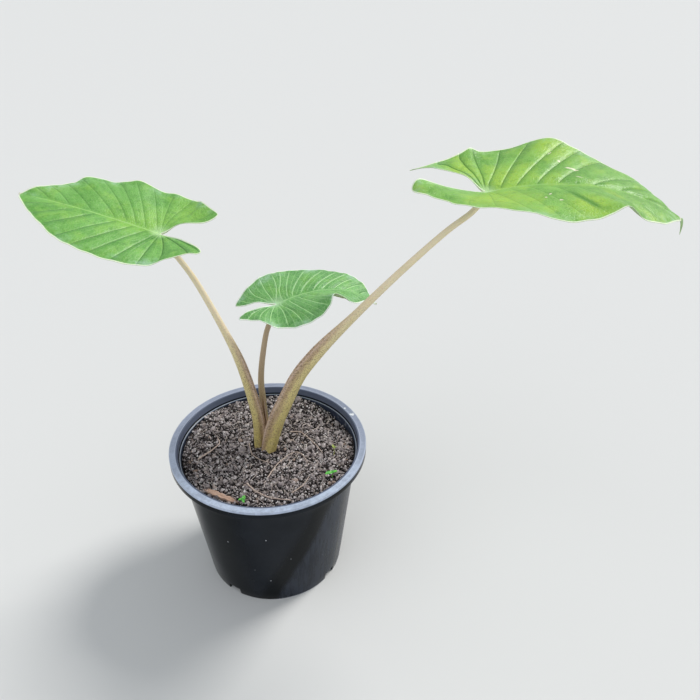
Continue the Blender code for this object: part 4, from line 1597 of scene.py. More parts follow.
@dataclass
class LeafBlade:
    """Arrow-shaped blade, quilted between its side veins, with a rib below."""

    name: str
    attachment: Point
    length: float
    half_width: float
    lobe_length: float
    heading: float
    pitch: float
    roll: float
    droop: float
    bend: float
    twist: float
    left: HalfBlade
    right: HalfBlade
    finish: BladeFinish
    slot: Slot
    quilting: float
    groove: float
    tip_drop: float = 0.0
    columns: int = 92
    front_rows: int = 300
    lobe_rows: int = 190
    widest: int = 7
    lobe_tip: int = 12
    end_station: int = 15
    skin: float = 0.62 * MM
    rib_depth: float = 1.9 * MM
    vein_depth: float = 0.45 * MM
    margin_wave: float = 0.20 * MM
    margin_lift: float = 0.28 * MM
    groove_width: float = 0.85 * MM
    ridge_height: float = 0.55 * MM
    ridge_width: float = 1.1 * MM
    valley_depth: float = 0.9 * MM
    valley_width: float = 4.2 * MM

    def axes(self) -> tuple[Array, Array, Array]:
        """Return the forward, leftward and upward directions at the attachment."""
        heading, pitch, roll = (math.radians(a) for a in (self.heading, self.pitch, self.roll))
        flat = np.array([math.cos(heading), math.sin(heading), 0.0])
        level_side = np.array([-math.sin(heading), math.cos(heading), 0.0])
        forward = math.cos(pitch) * flat + math.sin(pitch) * np.array([0.0, 0.0, 1.0])
        level_up = np.cross(forward, level_side)
        side = math.cos(roll) * level_side + math.sin(roll) * level_up
        upward = math.cos(roll) * level_up - math.sin(roll) * level_side
        return forward, side, upward

    def _rib_frames(self, along: Array, lobe_lift: float) -> tuple[Array, Array, Array]:
        """Place points of the rib and their cross directions.

        Args:
            along: Distances along the rib, below zero behind the attachment.
            lobe_lift: How far the lobe bends down, in degrees.

        Returns:
            The rib's points from the attachment, the sideways and the upward directions.
        """
        forward, side, upward = self.axes()
        front = along >= 0.0
        share = np.where(front, along / self.length, -along / self.lobe_length)
        reach = np.linspace(0.0, 1.0, 31)
        bent = np.maximum(share[:, None] * reach, 0.0) ** 1.3
        lobe = -math.radians(lobe_lift) * share[:, None] * reach
        pitch = np.where(front[:, None], -math.radians(self.droop) * bent, lobe)
        yaw = np.where(front[:, None], math.radians(self.bend) * bent, 0.0)
        twist = np.where(front, math.radians(self.twist) * bent[:, -1], 0.0)
        level = np.cos(yaw)[..., None] * forward + np.sin(yaw)[..., None] * side
        run = np.cos(pitch)[..., None] * level + np.sin(pitch)[..., None] * upward
        centre = along[:, None] * 0.5 * (run[:, 1:] + run[:, :-1]).mean(axis=1)
        end_yaw, end_pitch = yaw[:, -1:], pitch[:, -1:]
        across = np.cos(end_yaw) * side - np.sin(end_yaw) * forward
        normal = np.cos(end_pitch) * upward - np.sin(end_pitch) * forward
        twist = twist[:, None]
        turned = np.cos(twist) * across + np.sin(twist) * normal
        return centre, turned, np.cos(twist) * normal - np.sin(twist) * across

    def _bent(self, half: HalfBlade, hand: int, flat: Array) -> Array:
        """Bend flat points of one half into place.

        Args:
            half: The half blade.
            hand: 1 for the left half, -1 for the right.
            flat: Along, across and rise of each point.

        Returns:
            The points' places.
        """
        centre, side, normal = self._rib_frames(flat[:, 0], half.lobe_lift)
        fold = math.radians(half.fold)
        bend = math.radians(half.curl) / self.half_width + 1e-9
        angle = fold + bend * flat[:, 1]
        outward = (np.sin(angle) - math.sin(fold)) / bend
        lift = (math.cos(fold) - np.cos(angle)) / bend + flat[:, 2]
        place = np.array(self.attachment) + centre
        return place + hand * outward[:, None] * side + lift[:, None] * normal

    @staticmethod
    def _vein_row(rib_start: Array, margin: Array, share: Array) -> Array:
        """Return flat points on rows that leave the rib and turn to the tip."""
        along = rib_start + (margin[:, 0] - rib_start) * share**1.2
        return np.column_stack([along, margin[:, 1] * share, margin[:, 2] * share**2])

    def _flat(self, half: HalfBlade, station: Array, share: Array) -> Array:
        """Return along, across and rise at stations of the outline and shares of the row."""
        start = (self.length / MM, 0.0, 0.0)
        outline = np.array([start, *half.outline, (0.0, 0.0, 0.0)]) * MM
        margin = smooth_curve(outline, station)
        rib_start = self.length * np.maximum(1.0 - station / self.widest, 0.0)
        flat = self._vein_row(rib_start, margin, share)
        stations = self.end_station - (self.end_station - self.lobe_tip) * share
        sinus = smooth_curve(outline, stations)
        end = np.repeat(outline[self.lobe_tip][None], len(share), axis=0)
        bow = sinus - self._vein_row(np.zeros(len(share)), end, share)
        lobed = np.clip((station - self.widest) / (self.lobe_tip - self.widest), 0.0, 1.0)
        return flat + (lobed**1.5)[:, None] * bow

    def _vein_number(self, half: HalfBlade, station: Array, share: Array) -> Array:
        """Return a number that is whole on the veins and runs evenly between them."""
        ends = np.array([(-1.2, -1.2), *half.veins, (13.4, 13.4)])
        lines = ends[:, 0] + (ends[:, 1] - ends[:, 0]) * share[:, None] ** 0.9
        passed = (station[:, None] >= lines).sum(axis=1) - 1
        passed = np.clip(passed, 0, len(ends) - 2)
        rows = np.arange(len(station))
        low, high = lines[rows, passed], lines[rows, passed + 1]
        return passed + np.clip((station - low) / (high - low), 0.0, 1.0)

    def build(self) -> None:
        """Model and dress the blade."""
        grid: dict[str, Array] = {}
        rows = self.front_rows + self.lobe_rows

        def place(u: Array, v: Array) -> Array:
            """Place both halves; u runs across the blade and v from tip to lobes."""
            row, column = np.rint(v * rows), np.rint(u * self.columns)
            front = row <= self.front_rows
            lobed = (row - self.front_rows) / self.lobe_rows
            station = np.where(
                front,
                self.widest * row / self.front_rows,
                self.widest + (self.lobe_tip - self.widest) * lobed,
            )
            signed = 2.0 * column / self.columns - 1.0
            share = np.abs(signed)
            points = np.empty((len(u), 3))
            flat = np.empty((len(u), 3))
            number = np.empty(len(u))
            for half, hand in ((self.left, 1), (self.right, -1)):
                mine = signed >= 0.0 if hand == 1 else signed < 0.0
                number[mine] = self._vein_number(half, station[mine], share[mine])
                flat[mine] = self._flat(half, station[mine], share[mine])
                self._ripple(flat, mine, number[mine], share[mine])
                points[mine] = self._bent(half, hand, flat[mine])
            grid.update(
                row=row.astype(int), column=column.astype(int), share=share, number=number,
                along=flat[:, 0], across=flat[:, 1] * np.sign(signed), station=station,
            )
            return points

        blade = Bench.sheet(self.name, self.columns, rows, place)
        self._store_patterns(blade, grid, rows)
        Bench.weld(blade)
        self._face_up(blade)
        self._emboss(blade)
        self._thicken(blade)
        if self.tip_drop > 0.0:
            Bench.join(blade, [self._drip_tip()])
        Bench.place_piece(
            blade,
            f"{self.name}_fine",
            self.finish.material(self.length),
            self.slot,
            [self.name],
            70.0,
        )

    def _ripple(self, flat: Array, mine: Array, number: Array, share: Array) -> None:
        """Scallop the margin a little between the veins."""
        phase = number - np.floor(number)
        flat[mine, 1] += self.margin_wave * share**10 * (np.sin(math.pi * phase) ** 2 - 0.5)
        flat[mine, 2] += self.margin_lift * share**5 * np.sin(2.0 * math.pi * number + 0.7)

    def _store_patterns(self, blade: Piece, grid: dict[str, Array], rows: int) -> None:
        """Store what the finish and the relief read.

        Args:
            blade: The sheet before its points are welded.
            grid: Each point's row, column and flat place.
            rows: Rows of the grid.
        """
        shape = (rows + 1, self.columns + 1)
        order = np.full(shape, -1)
        order[grid["row"], grid["column"]] = np.arange(len(grid["row"]))
        places = Bench.points(blade)[order]
        down, over = np.gradient(places, axis=0), np.gradient(places, axis=1)
        e, f, g = (down * down).sum(2), (down * over).sum(2), (over * over).sum(2)
        area = np.maximum(e * g - f * f, 1e-16)

        def slope(values: Array) -> Array:
            """Return how fast a value changes over the surface, per metre."""
            field = values[order]
            a, b = np.gradient(field, axis=0), np.gradient(field, axis=1)
            square = (g * a * a - 2.0 * f * a * b + e * b * b) / area
            found = np.empty(len(values))
            found[order.ravel()] = np.sqrt(np.maximum(square, 1e-6)).ravel()
            return found

        number = grid["number"]
        jumps = slope(number)
        middle = grid["share"] < 0.5 * 2.0 / self.columns
        beside = {row: jumps[order[row, self.columns // 2 + 1]] for row in range(rows + 1)}
        jumps[middle] = [beside[row] for row in grid["row"][middle]]
        panel = np.clip(1.0 / np.maximum(jumps, 1e-3), 0.8 * MM, 26.0 * MM)
        edge = (1.0 - grid["share"]) / slope(grid["share"])
        inward = (self.lobe_tip - grid["station"]) / np.maximum(slope(grid["station"]), 1e-3)
        edge = np.where(grid["station"] > self.widest, np.minimum(edge, inward), edge)
        leftward = ease(grid["across"], -2.0 * MM, 2.0 * MM)
        relief = self.right.relief + (self.left.relief - self.right.relief) * leftward
        Bench.store(
            blade,
            vein=number,
            panel=panel,
            edge=np.clip(edge, 0.0, 0.05),
            along=grid["along"],
            across=grid["across"],
            share=grid["share"],
            relief=relief,
        )

    def _face_up(self, blade: Piece) -> None:
        """Turn the sheet's faces to the blade's upper side."""
        if (Bench.points(blade, "normal") @ self.axes()[2]).mean() < 0.0:
            Bench.edit(blade, bpy.ops.mesh.flip_normals)

    def _vein_gap(self, blade: Piece) -> tuple[Array, Array]:
        """Return the distance to the nearest vein, and the phase between veins."""
        number, panel = Bench.stored(blade, "vein", "panel")
        phase = number - np.floor(number)
        return np.minimum(phase, 1.0 - phase) * panel, phase

    def _emboss(self, blade: Piece) -> None:
        """Raise the panels between the veins and sink the veins and the rib."""
        gap, phase = self._vein_gap(blade)
        panel, share, kept = Bench.stored(blade, "panel", "share", "relief")
        along, across = Bench.stored(blade, "along", "across")
        points = Bench.points(blade)
        inside = ease(share, 0.02, 0.16) * ease(1.0 - share, 0.01, 0.14) * kept
        lean = np.sin(math.pi * phase**0.8)
        relief = self.quilting * np.minimum(panel, 16.0 * MM) * lean * inside
        sunk = self.groove * hill(gap, self.groove_width)
        relief -= sunk * inside * ease(panel, 1.5 * MM, 5.0 * MM)
        on_rib = ease(along, -1.0 * MM, 3.0 * MM)
        on_rib *= 1.0 - 0.7 * np.clip(along / self.length, 0.0, 1.0)
        ridge = self.ridge_height * hill(across, self.ridge_width)
        valley = self.valley_depth * hill(across, self.valley_width)
        relief += on_rib * (ridge - valley)
        relief += 0.30 * MM * noise_at(points, 0.016) + 0.12 * MM * noise_at(points, 0.005)
        Bench.move(blade, points + relief[:, None] * Bench.points(blade, "normal"))

    def _thicken(self, blade: Piece) -> None:
        """Give the sheet its skin, with the rib and the veins standing out below."""
        gap, _ = self._vein_gap(blade)
        along, across, edge = Bench.stored(blade, "along", "across", "edge")
        shrink = 1.0 - 0.85 * np.clip(along / self.length, 0.0, 1.0)
        heart = hill(np.hypot(along, across), 9.0 * MM)
        rib = self.rib_depth * shrink * hill(across, 1.5 * MM) * ease(along, -4.0 * MM, 0.0)
        rib = np.maximum(rib, self.rib_depth * 0.9 * heart)
        depth = self.skin + rib + self.vein_depth * hill(gap, 0.8 * MM) * ease(edge, 0.0, 5.0 * MM)
        depth *= 0.65 + 0.35 * ease(edge, 0.0, 1.5 * MM)
        full = float(depth.max())
        group = blade.vertex_groups.new(name="skin")
        for index, weight in enumerate(depth / full):
            group.add([index], float(weight), "REPLACE")
        count = len(depth)
        Bench.modify(blade, "SOLIDIFY", thickness=full, offset=-1.0, vertex_group="skin")
        blade.vertex_groups.clear()
        underside = np.zeros(len(blade.data.vertices))
        underside[count:] = 1.0
        Bench.store(blade, underside=underside)

    def _drip_tip(self) -> Piece:
        """Narrow drip tip that hangs from the blade's point."""
        tip = np.array([[self.length - 1.5 * MM, 0.0, 0.0]])
        start = self._bent(self.left, 1, tip)[0]
        forward, _, upward = self.axes()
        droop = math.radians(self.droop)
        out = math.cos(droop) * forward - math.sin(droop) * upward
        share = np.linspace(0.0, 1.0, 18)
        reach = 2.6 * MM * (1.0 - np.exp(-4.0 * share))
        fall = self.tip_drop * share**1.25
        path = start + reach[:, None] * out - fall[:, None] * np.array([0.0, 0.0, 1.0])
        radii = 1.25 * MM * (1.0 - share) ** 0.8 + 0.14 * MM
        drip = tube("drip", path, radii, 12)
        count = len(drip.data.vertices)
        marks = {
            "vein": 0.5, "panel": 0.01, "edge": 0.0012, "along": self.length - 0.004,
            "across": 0.004, "share": 0.5, "underside": 0.0, "relief": 0.0,
        }
        Bench.store(drip, **{name: np.full(count, value) for name, value in marks.items()})
        return drip


@dataclass
class LeafStalk:
    """Leaf stalk with a channelled sheath on its inner side, round above it."""

    name: str
    path: tuple[Point, ...]
    base_radius: float
    wing: float
    sheath_end: float
    inner_side: tuple[float, float]
    blade: LeafBlade
    finish: StalkFinish
    slot: Slot
    base_height: float = 0.1418
    top_radius: float = 0.0025
    taper: float = 1.4
    sheath_at_foot: float = 0.3
    sheath_spread: float = 0.08
    sheath_close: float = 0.07
    sheath_lowering: float = 0.45
    wing_angle: float = 0.38
    wing_width: float = 0.18
    channel_depth: float = 0.30
    channel_width: float = 0.20
    rib_thickness: float = 0.0025
    end_depth: float = 0.0019
    ribbing: float = 0.006
    ribs: float = 19.0
    clearance: float = 0.0006
    sides: int = 72
    rings: int = 250
    top_rings: int = 8

    def _ends(self, last: Array) -> tuple[Array, Array]:
        """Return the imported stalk's upper end and the end inside the blade's rib.

        Args:
            last: The path's last point.

        Returns:
            Both ends.
        """
        _, _, upward = self.blade.axes()
        attachment = np.array(self.blade.attachment)
        run = unit(attachment - last)
        tilt = math.sqrt(1.0 - float(run @ upward) ** 2)
        drop = self.rib_thickness + self.clearance + 1.3 * self.top_radius * tilt
        return attachment - drop * upward, attachment - self.end_depth * upward

    def build(self) -> None:
        """Model and dress the stalk."""
        points = np.array(self.path) * MM
        base = np.array([points[0][0], points[0][1], self.base_height])
        below, inside = self._ends(points[-1])
        line = np.vstack([base, points, below])
        shares = np.linspace(0.0, 1.0, self.rings + 1)
        centres = smooth_curve(line, even_stations(line, shares))
        onward = np.linspace(0.0, 1.0, self.top_rings + 1)[1:, None]
        centres = np.vstack([centres, below + (inside - below) * onward])
        shares = np.concatenate([shares, np.ones(self.top_rings)])
        length = np.linalg.norm(np.diff(centres, axis=0), axis=1).sum()
        run = unit(np.gradient(centres, axis=0))
        settle = ease(shares, 0.0, 0.03)[:, None]
        run = unit(run * settle + np.array([0.0, 0.0, 1.0]) * (1.0 - settle))
        inner = np.array([*self.inner_side, 0.0])
        facing = unit(inner - (run @ inner)[:, None] * run)
        side = np.cross(run, facing)
        radius = self.top_radius + (self.base_radius - self.top_radius) * (1.0 - shares) ** self.taper
        radius[-self.top_rings:] *= np.sqrt(1.0 - 0.75 * onward[:, 0] ** 2)
        sheath = ease(self.sheath_end - shares, -0.7 * self.sheath_close, 2.1 * self.sheath_close)
        opened = self.sheath_at_foot + (1.0 - self.sheath_at_foot) * shares / self.sheath_spread
        sheath *= np.minimum(1.0, opened)
        sheath *= 1.0 - self.sheath_lowering * np.minimum(1.0, shares / self.sheath_end) ** 2
        last = len(shares) - 1
        stored: dict[str, Array] = {}

        def place(turn: Array, share: Array) -> Array:
            """Place the stalk's points; turn 0 faces the sheath's opening."""
            row = np.rint(share * last).astype(int)
            angle = 2.0 * math.pi * turn
            away = np.abs(np.angle(np.exp(1j * angle)))
            wings = self.wing * hill(away - self.wing_angle, self.wing_width)
            channel = self.channel_depth * radius[row] * hill(away, self.channel_width)
            reach = radius[row] * (1.0 + self.ribbing * np.cos(self.ribs * angle))
            reach = reach + sheath[row] * (wings - channel)
            spoke = np.cos(angle)[:, None] * facing[row] + np.sin(angle)[:, None] * side[row]
            stored.update(
                share=shares[row],
                run=shares[row] * length,
                spoke_x=np.cos(angle) * radius[row],
                spoke_y=np.sin(angle) * radius[row],
                inner=np.cos(away),
            )
            return centres[row] + reach[:, None] * spoke

        stalk = Bench.sheet(self.name, self.sides, last, place)
        Bench.store(stalk, **stored)
        Bench.close(stalk)
        Bench.place_piece(
            stalk, f"{self.name}_fine", self.finish.material(), self.slot, [self.name], 50.0
        )


@dataclass
class Rootstock:
    """Short ringed rootstock in the soil, which the stalks stand on."""

    centre: tuple[float, float] = (-0.003, 0.004)
    low: float = 0.1083
    top: float = 0.1415
    radius: float = 0.0158
    rings: int = 70

    def build(self) -> None:
        """Model and dress the rootstock."""
        share = np.linspace(0.0, 1.0, self.rings)
        swell = 0.72 + 0.28 * np.sin(math.pi * np.minimum(1.0, 0.25 + share))
        scars = 0.03 * (0.5 - 0.5 * np.cos(10.0 * math.pi * share))
        radii = self.radius * (swell - scars)
        z = self.low + (self.top - self.low) * share
        path = np.column_stack([np.tile(self.centre, (self.rings, 1)), z])
        stock = tube("rootstock_fine", path, radii, 60, lambda points: 0.03 * noise_at(points, 0.004))
        pale, deep, crack = (0.30, 0.18, 0.12), (0.13, 0.07, 0.05), (0.04, 0.02, 0.015)
        skin = FibreFinish("rootstock_skin", pale, deep, crack, 0.0012).material()
        Bench.place_piece(stock, "rootstock_fine", skin, Slot.ROOTSTOCK, ["rootstock"], 50.0)


@dataclass
class BarkStrip:
    """Small splintered strip of bark."""

    size: Point = (0.030, 0.0055, 0.0018)
    turn: float = -27.0

    def build(self) -> None:
        """Model and dress the strip."""
        low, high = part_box("bark_strip")
        Bench.clear()
        bpy.ops.mesh.primitive_cube_add(size=1.0)
        strip = bpy.context.object
        Bench.edit(strip, lambda: bpy.ops.mesh.subdivide(number_cuts=15))
        points = Bench.points(strip)
        grain = noise_at(points * np.array([0.6, 7.0, 2.0]), 1.0)
        points[:, 0] += 0.34 * grain * np.abs(points[:, 0]) * 2.0
        narrow = 1.0 - 0.30 * np.abs(2.0 * points[:, 0]) ** 4
        narrow *= 1.0 + 0.35 * noise_at(points * np.array([7.0, 0.5, 0.5]), 1.0)
        points[:, 1] *= narrow
        points[:, 2] += 0.32 * noise_at(points * np.array([2.0, 9.0, 1.0]), 1.0)
        points = points * np.array(self.size)
        angle = math.radians(self.turn)
        x = points[:, 0] * math.cos(angle) - points[:, 1] * math.sin(angle)
        y = points[:, 0] * math.sin(angle) + points[:, 1] * math.cos(angle)
        middle = (low + high) / 2.0
        Bench.move(strip, np.column_stack([x + middle.x, y + middle.y, points[:, 2] + middle.z]))
        Bench.weld(strip)
        pale, deep, crack = (0.66, 0.46, 0.36), (0.48, 0.30, 0.22), (0.16, 0.09, 0.07)
        bark = FibreFinish("bark_fibre", pale, deep, crack, 0.0009, -self.turn).material()
        Bench.place_piece(strip, "bark_strip_fine", bark, Slot.BARK, ["bark_strip"])


@dataclass
class Seedling:
    """Tiny seedling: a thin stem with a few cupped leaves."""

    name: str
    place: tuple[float, float]
    height: float
    leaf: float
    turn: float
    leaves: tuple[tuple[float, float, float], ...]
    finish: SproutFinish

    def build(self) -> None:
        """Model and dress the seedling."""
        low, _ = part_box(self.name)
        x, y = self.place
        share = np.linspace(0.0, 1.0, 10)
        rise = low.z + (self.height - 0.4 * MM) * share
        sway = 0.5 * MM * np.sin(2.4 * share)
        stem_path = np.column_stack([x + sway, np.full(10, y) - sway, rise])
        stem = tube("stem", stem_path, 0.42 * MM * (1.0 - 0.4 * share), 8)
        leaves = [
            self._leaf(stem_path[-1], self.turn + heading, pitch, size * self.leaf)
            for heading, pitch, size in self.leaves
        ]
        seedling = Bench.join(stem, leaves)
        Bench.place_piece(
            seedling, f"{self.name}_fine", self.finish.material(), Slot.SEEDLING, [self.name]
        )

    def _leaf(self, start: Array, heading: float, pitch: float, size: float) -> Piece:
        """Model one oval cupped leaf.

        Args:
            start: Where the leaf leaves the stem.
            heading: Its direction on plan, in degrees.
            pitch: How far it points up, in degrees.
            size: Half of its length.

        Returns:
            The closed leaf.
        """
        yaw, lift = math.radians(heading), math.radians(pitch)
        level = math.cos(lift)
        out = np.array([math.cos(yaw) * level, math.sin(yaw) * level, math.sin(lift)])
        side = np.array([-math.sin(yaw), math.cos(yaw), 0.0])
        up = np.cross(out, side)

        def place(u: Array, v: Array) -> Array:
            """Place the leaf's points; v runs from the stem to the tip."""
            across = 2.0 * u - 1.0
            width = 0.62 * size * np.sin(math.pi * np.clip(0.04 + 0.93 * v, 0.0, 1.0)) ** 0.7
            cup = 0.28 * size * across**2 * np.sin(math.pi * v) - 0.35 * size * v**2
            along = 2.0 * size * v
            sideways = (across * width)[:, None] * side
            return start + along[:, None] * out + sideways + cup[:, None] * up

        leaf = Bench.sheet("seed_leaf", 10, 12, place)
        Bench.modify(leaf, "SOLIDIFY", thickness=0.22 * MM, offset=0.0)
        Bench.edit(leaf, lambda: bpy.ops.mesh.normals_make_consistent(inside=False))
        return leaf


@dataclass(frozen=True)
class Sun:
    """A distant light: where it comes from, its strength, and its width in degrees."""

    name: str
    source: Point
    strength: float
    softness: float
    colour: Colour

    def shine(self) -> None:
        """Add the light."""
        turn = (-Vector(self.source)).to_track_quat("-Z", "Y").to_euler()
        bpy.ops.object.light_add(type="SUN", location=self.source, rotation=turn)
        light = bpy.context.object
        light.name = self.name
        light.data.energy = self.strength
        light.data.angle = math.radians(self.softness)
        light.data.color = self.colour


@dataclass
class Studio:
    """Pale floor, soft daylight, and the camera of the photograph."""

    camera_place: Point = (0.0836, -0.5913, 0.6694)
    camera_tilt: float = 56.0
    lens: float = 39.02
    floor_size: float = 16.0
    floor_colour: Colour = (0.655, 0.655, 0.65)
    floor_shade: Colour = (0.63, 0.63, 0.63)
    sky_colour: Colour = (0.90, 0.95, 1.0)
    sky_strength: float = 0.56
    sensor_width: float = 36.0
    suns: tuple[Sun, ...] = (
        Sun("key", (0.60, 0.42, 0.75), 2.40, 20.0, (1.0, 0.985, 0.95)),
        Sun("fill", (-0.50, -0.60, 0.90), 0.62, 60.0, (0.94, 0.97, 1.0)),
    )

    def build(self) -> None:
        """Set up the floor, the lights and the camera."""
        scene = bpy.context.scene
        scene.view_settings.view_transform = "Standard"
        Bench.clear()
        bpy.ops.mesh.primitive_plane_add(size=self.floor_size)
        floor = bpy.context.object
        floor.name = "studio_floor"
        g = Graph("studio_floor")
        tone = g.noise(g.place(), 0.5, 2.0, 0.5)
        colour = g.mix((tone - 0.5) * 0.1, self.floor_colour, self.floor_shade)
        floor.data.materials.append(g.finish(colour, 0.85, None, {"Specular IOR Level": 0.2}))
        for sun in self.suns:
            sun.shine()
        world = bpy.data.worlds.new("soft_sky")
        world.use_nodes = True
        sky = world.node_tree.nodes["Background"]
        sky.inputs["Color"].default_value = (*self.sky_colour, 1.0)
        sky.inputs["Strength"].default_value = self.sky_strength
        scene.world = world
        bpy.ops.object.camera_add(
            location=self.camera_place, rotation=(math.radians(self.camera_tilt), 0.0, 0.0)
        )
        camera = bpy.context.object
        camera.data.lens = self.lens
        camera.data.sensor_width = self.sensor_width
        scene.camera = camera
        log.info("studio: floor, %d lights and camera", len(self.suns))


def left_blade() -> LeafBlade:
    """Return the left leaf's blade."""
    finish = BladeFinish(
        name="blade_left_skin", green=(0.115, 0.335, 0.050), light_green=(0.185, 0.450, 0.098),
        yellow=(0.265, 0.520, 0.070), shade=(0.060, 0.220, 0.040), vein=(0.30, 0.56, 0.16),
        lobeward=1.0, crease_shade=0.62, lit_line=0.25, line_offset=0.60 * MM, shading=0.62,
        fine_veins=0.24, bloom_and_sheen=0.55,
        # The third patch lightens the far lobe as painted light; the others are yellow flushes.
        yellow_flushes_and_painted_light=((0.012, -0.012, 0.026), (0.030, 0.004, 0.024), (-0.018, -0.030, 0.034)),
    )
    return LeafBlade(
        name="blade_left", attachment=(-0.085, 0.025, 0.378), length=0.128, half_width=0.060,
        lobe_length=0.046, heading=176.0, pitch=20.0, roll=-5.0, droop=13.0, bend=-5.0,
        twist=-4.0,
        left=HalfBlade(
            fold=10.0, curl=-11.0, lobe_lift=23.0,
            outline=(
                (123, 9, 1), (109, 23, -2), (93, 37, -2), (76, 49, -4), (59, 56, -4),
                (39, 60, -4), (20, 61, -3), (-2, 57, -1), (-18, 51, 6), (-33, 43, 9),
                (-43, 33, 5), (-45, 27, 3), (-39, 20, 5), (-21, 11, 6),
            ),
            veins=(
                (1.9, 1.35), (2.9, 2.2), (3.8, 3.15), (4.95, 4.05), (5.75, 4.95), (6.4, 5.75),
                (6.85, 6.75), (7.6, 7.7), (9.1, 8.65), (10.3, 10.3), (11.2, 11.4),
            ),
        ),
        right=HalfBlade(
            fold=12.0, curl=-10.0, lobe_lift=42.0,
            outline=(
                (118, 10, 2), (104, 25, -3), (94, 36, -5), (83, 45, -1), (61, 54, -5),
                (39, 60, 1), (18, 60, -2), (1, 57, 3), (-18, 52, 4), (-31, 44, 7),
                (-44, 35, 3), (-49, 29, -1), (-39, 19, 1), (-16, 12, 6),
            ),
            veins=(
                (1.6, 1.0), (2.55, 1.6), (3.65, 2.5), (4.8, 3.5), (5.35, 4.5), (5.8, 5.15),
                (6.25, 5.8), (6.8, 6.6), (7.15, 7.8), (8.1, 8.9), (9.6, 9.75), (10.6, 11.1),
            ),
            relief=0.42,
        ),
        finish=finish, slot=Slot.BLADE_YELLOW, quilting=0.062, groove=0.30 * MM,
    )


def centre_blade() -> LeafBlade:
    """Return the young middle leaf's blade."""
    finish = BladeFinish(
        name="blade_centre_skin", green=(0.100, 0.310, 0.072),
        light_green=(0.170, 0.430, 0.115), yellow=(0.200, 0.455, 0.065),
        shade=(0.052, 0.195, 0.050), vein=(0.45, 0.74, 0.33), lobeward=1.0, crease_shade=0.0,
        lit_line=0.90, line_offset=0.0, line_width=0.62 * MM, shading=0.42, fine_veins=0.36,
        bloom_and_sheen=0.60, rib=(0.38, 0.64, 0.27), heart=(0.46, 0.68, 0.40), margin=(0.82, 0.88, 0.78),
        bloom_and_sheen_colour=(0.42, 0.60, 0.50),
    )
    return LeafBlade(
        name="blade_centre", attachment=(0.012, 0.045, 0.294), length=0.111, half_width=0.046,
        lobe_length=0.037, heading=16.0, pitch=21.0, roll=1.0, droop=71.0, bend=0.0, twist=-9.0,
        left=HalfBlade(
            fold=13.0, curl=-9.0, lobe_lift=25.0,
            outline=(
                (102, 9, 2), (95, 17, 5), (83, 27, 4), (71, 34, 0), (55, 40, -3),
                (40, 43, -4), (26, 44, -2), (11, 43, 2), (-5, 40, 6), (-22, 32, 5),
                (-32, 26, 0), (-38, 19, -5), (-32, 14, -3), (-17, 9, 2),
            ),
            veins=(
                (1.5, 1.2), (2.55, 1.95), (3.3, 2.6), (4.1, 3.2), (4.65, 3.9), (5.45, 4.7),
                (5.95, 5.9), (6.15, 7.0), (6.5, 7.7), (6.95, 8.25), (9.0, 9.0), (10.3, 9.9),
                (11.2, 11.2),
            ),
        ),
        right=HalfBlade(
            fold=10.0, curl=-10.0, lobe_lift=52.0,
            outline=(
                (104, 5, -1), (90, 14, -3), (74, 26, -5), (61, 33, 2), (49, 39, 11),
                (43, 47, 3), (31, 48, -6), (11, 45, -9), (-6, 38, -5), (-21, 36, 4),
                (-33, 25, -2), (-40, 20, -6), (-34, 14, 2), (-18, 9, 6),
            ),
            veins=(
                (2.4, 1.9), (3.4, 2.9), (4.4, 4.0), (5.2, 5.1), (5.65, 5.95), (6.2, 7.0),
                (6.75, 7.7), (7.5, 8.5), (9.3, 9.4), (10.5, 10.2), (11.2, 11.0),
            ),
        ),
        finish=finish, slot=Slot.BLADE_MID, quilting=0.050, groove=0.20 * MM,
    )


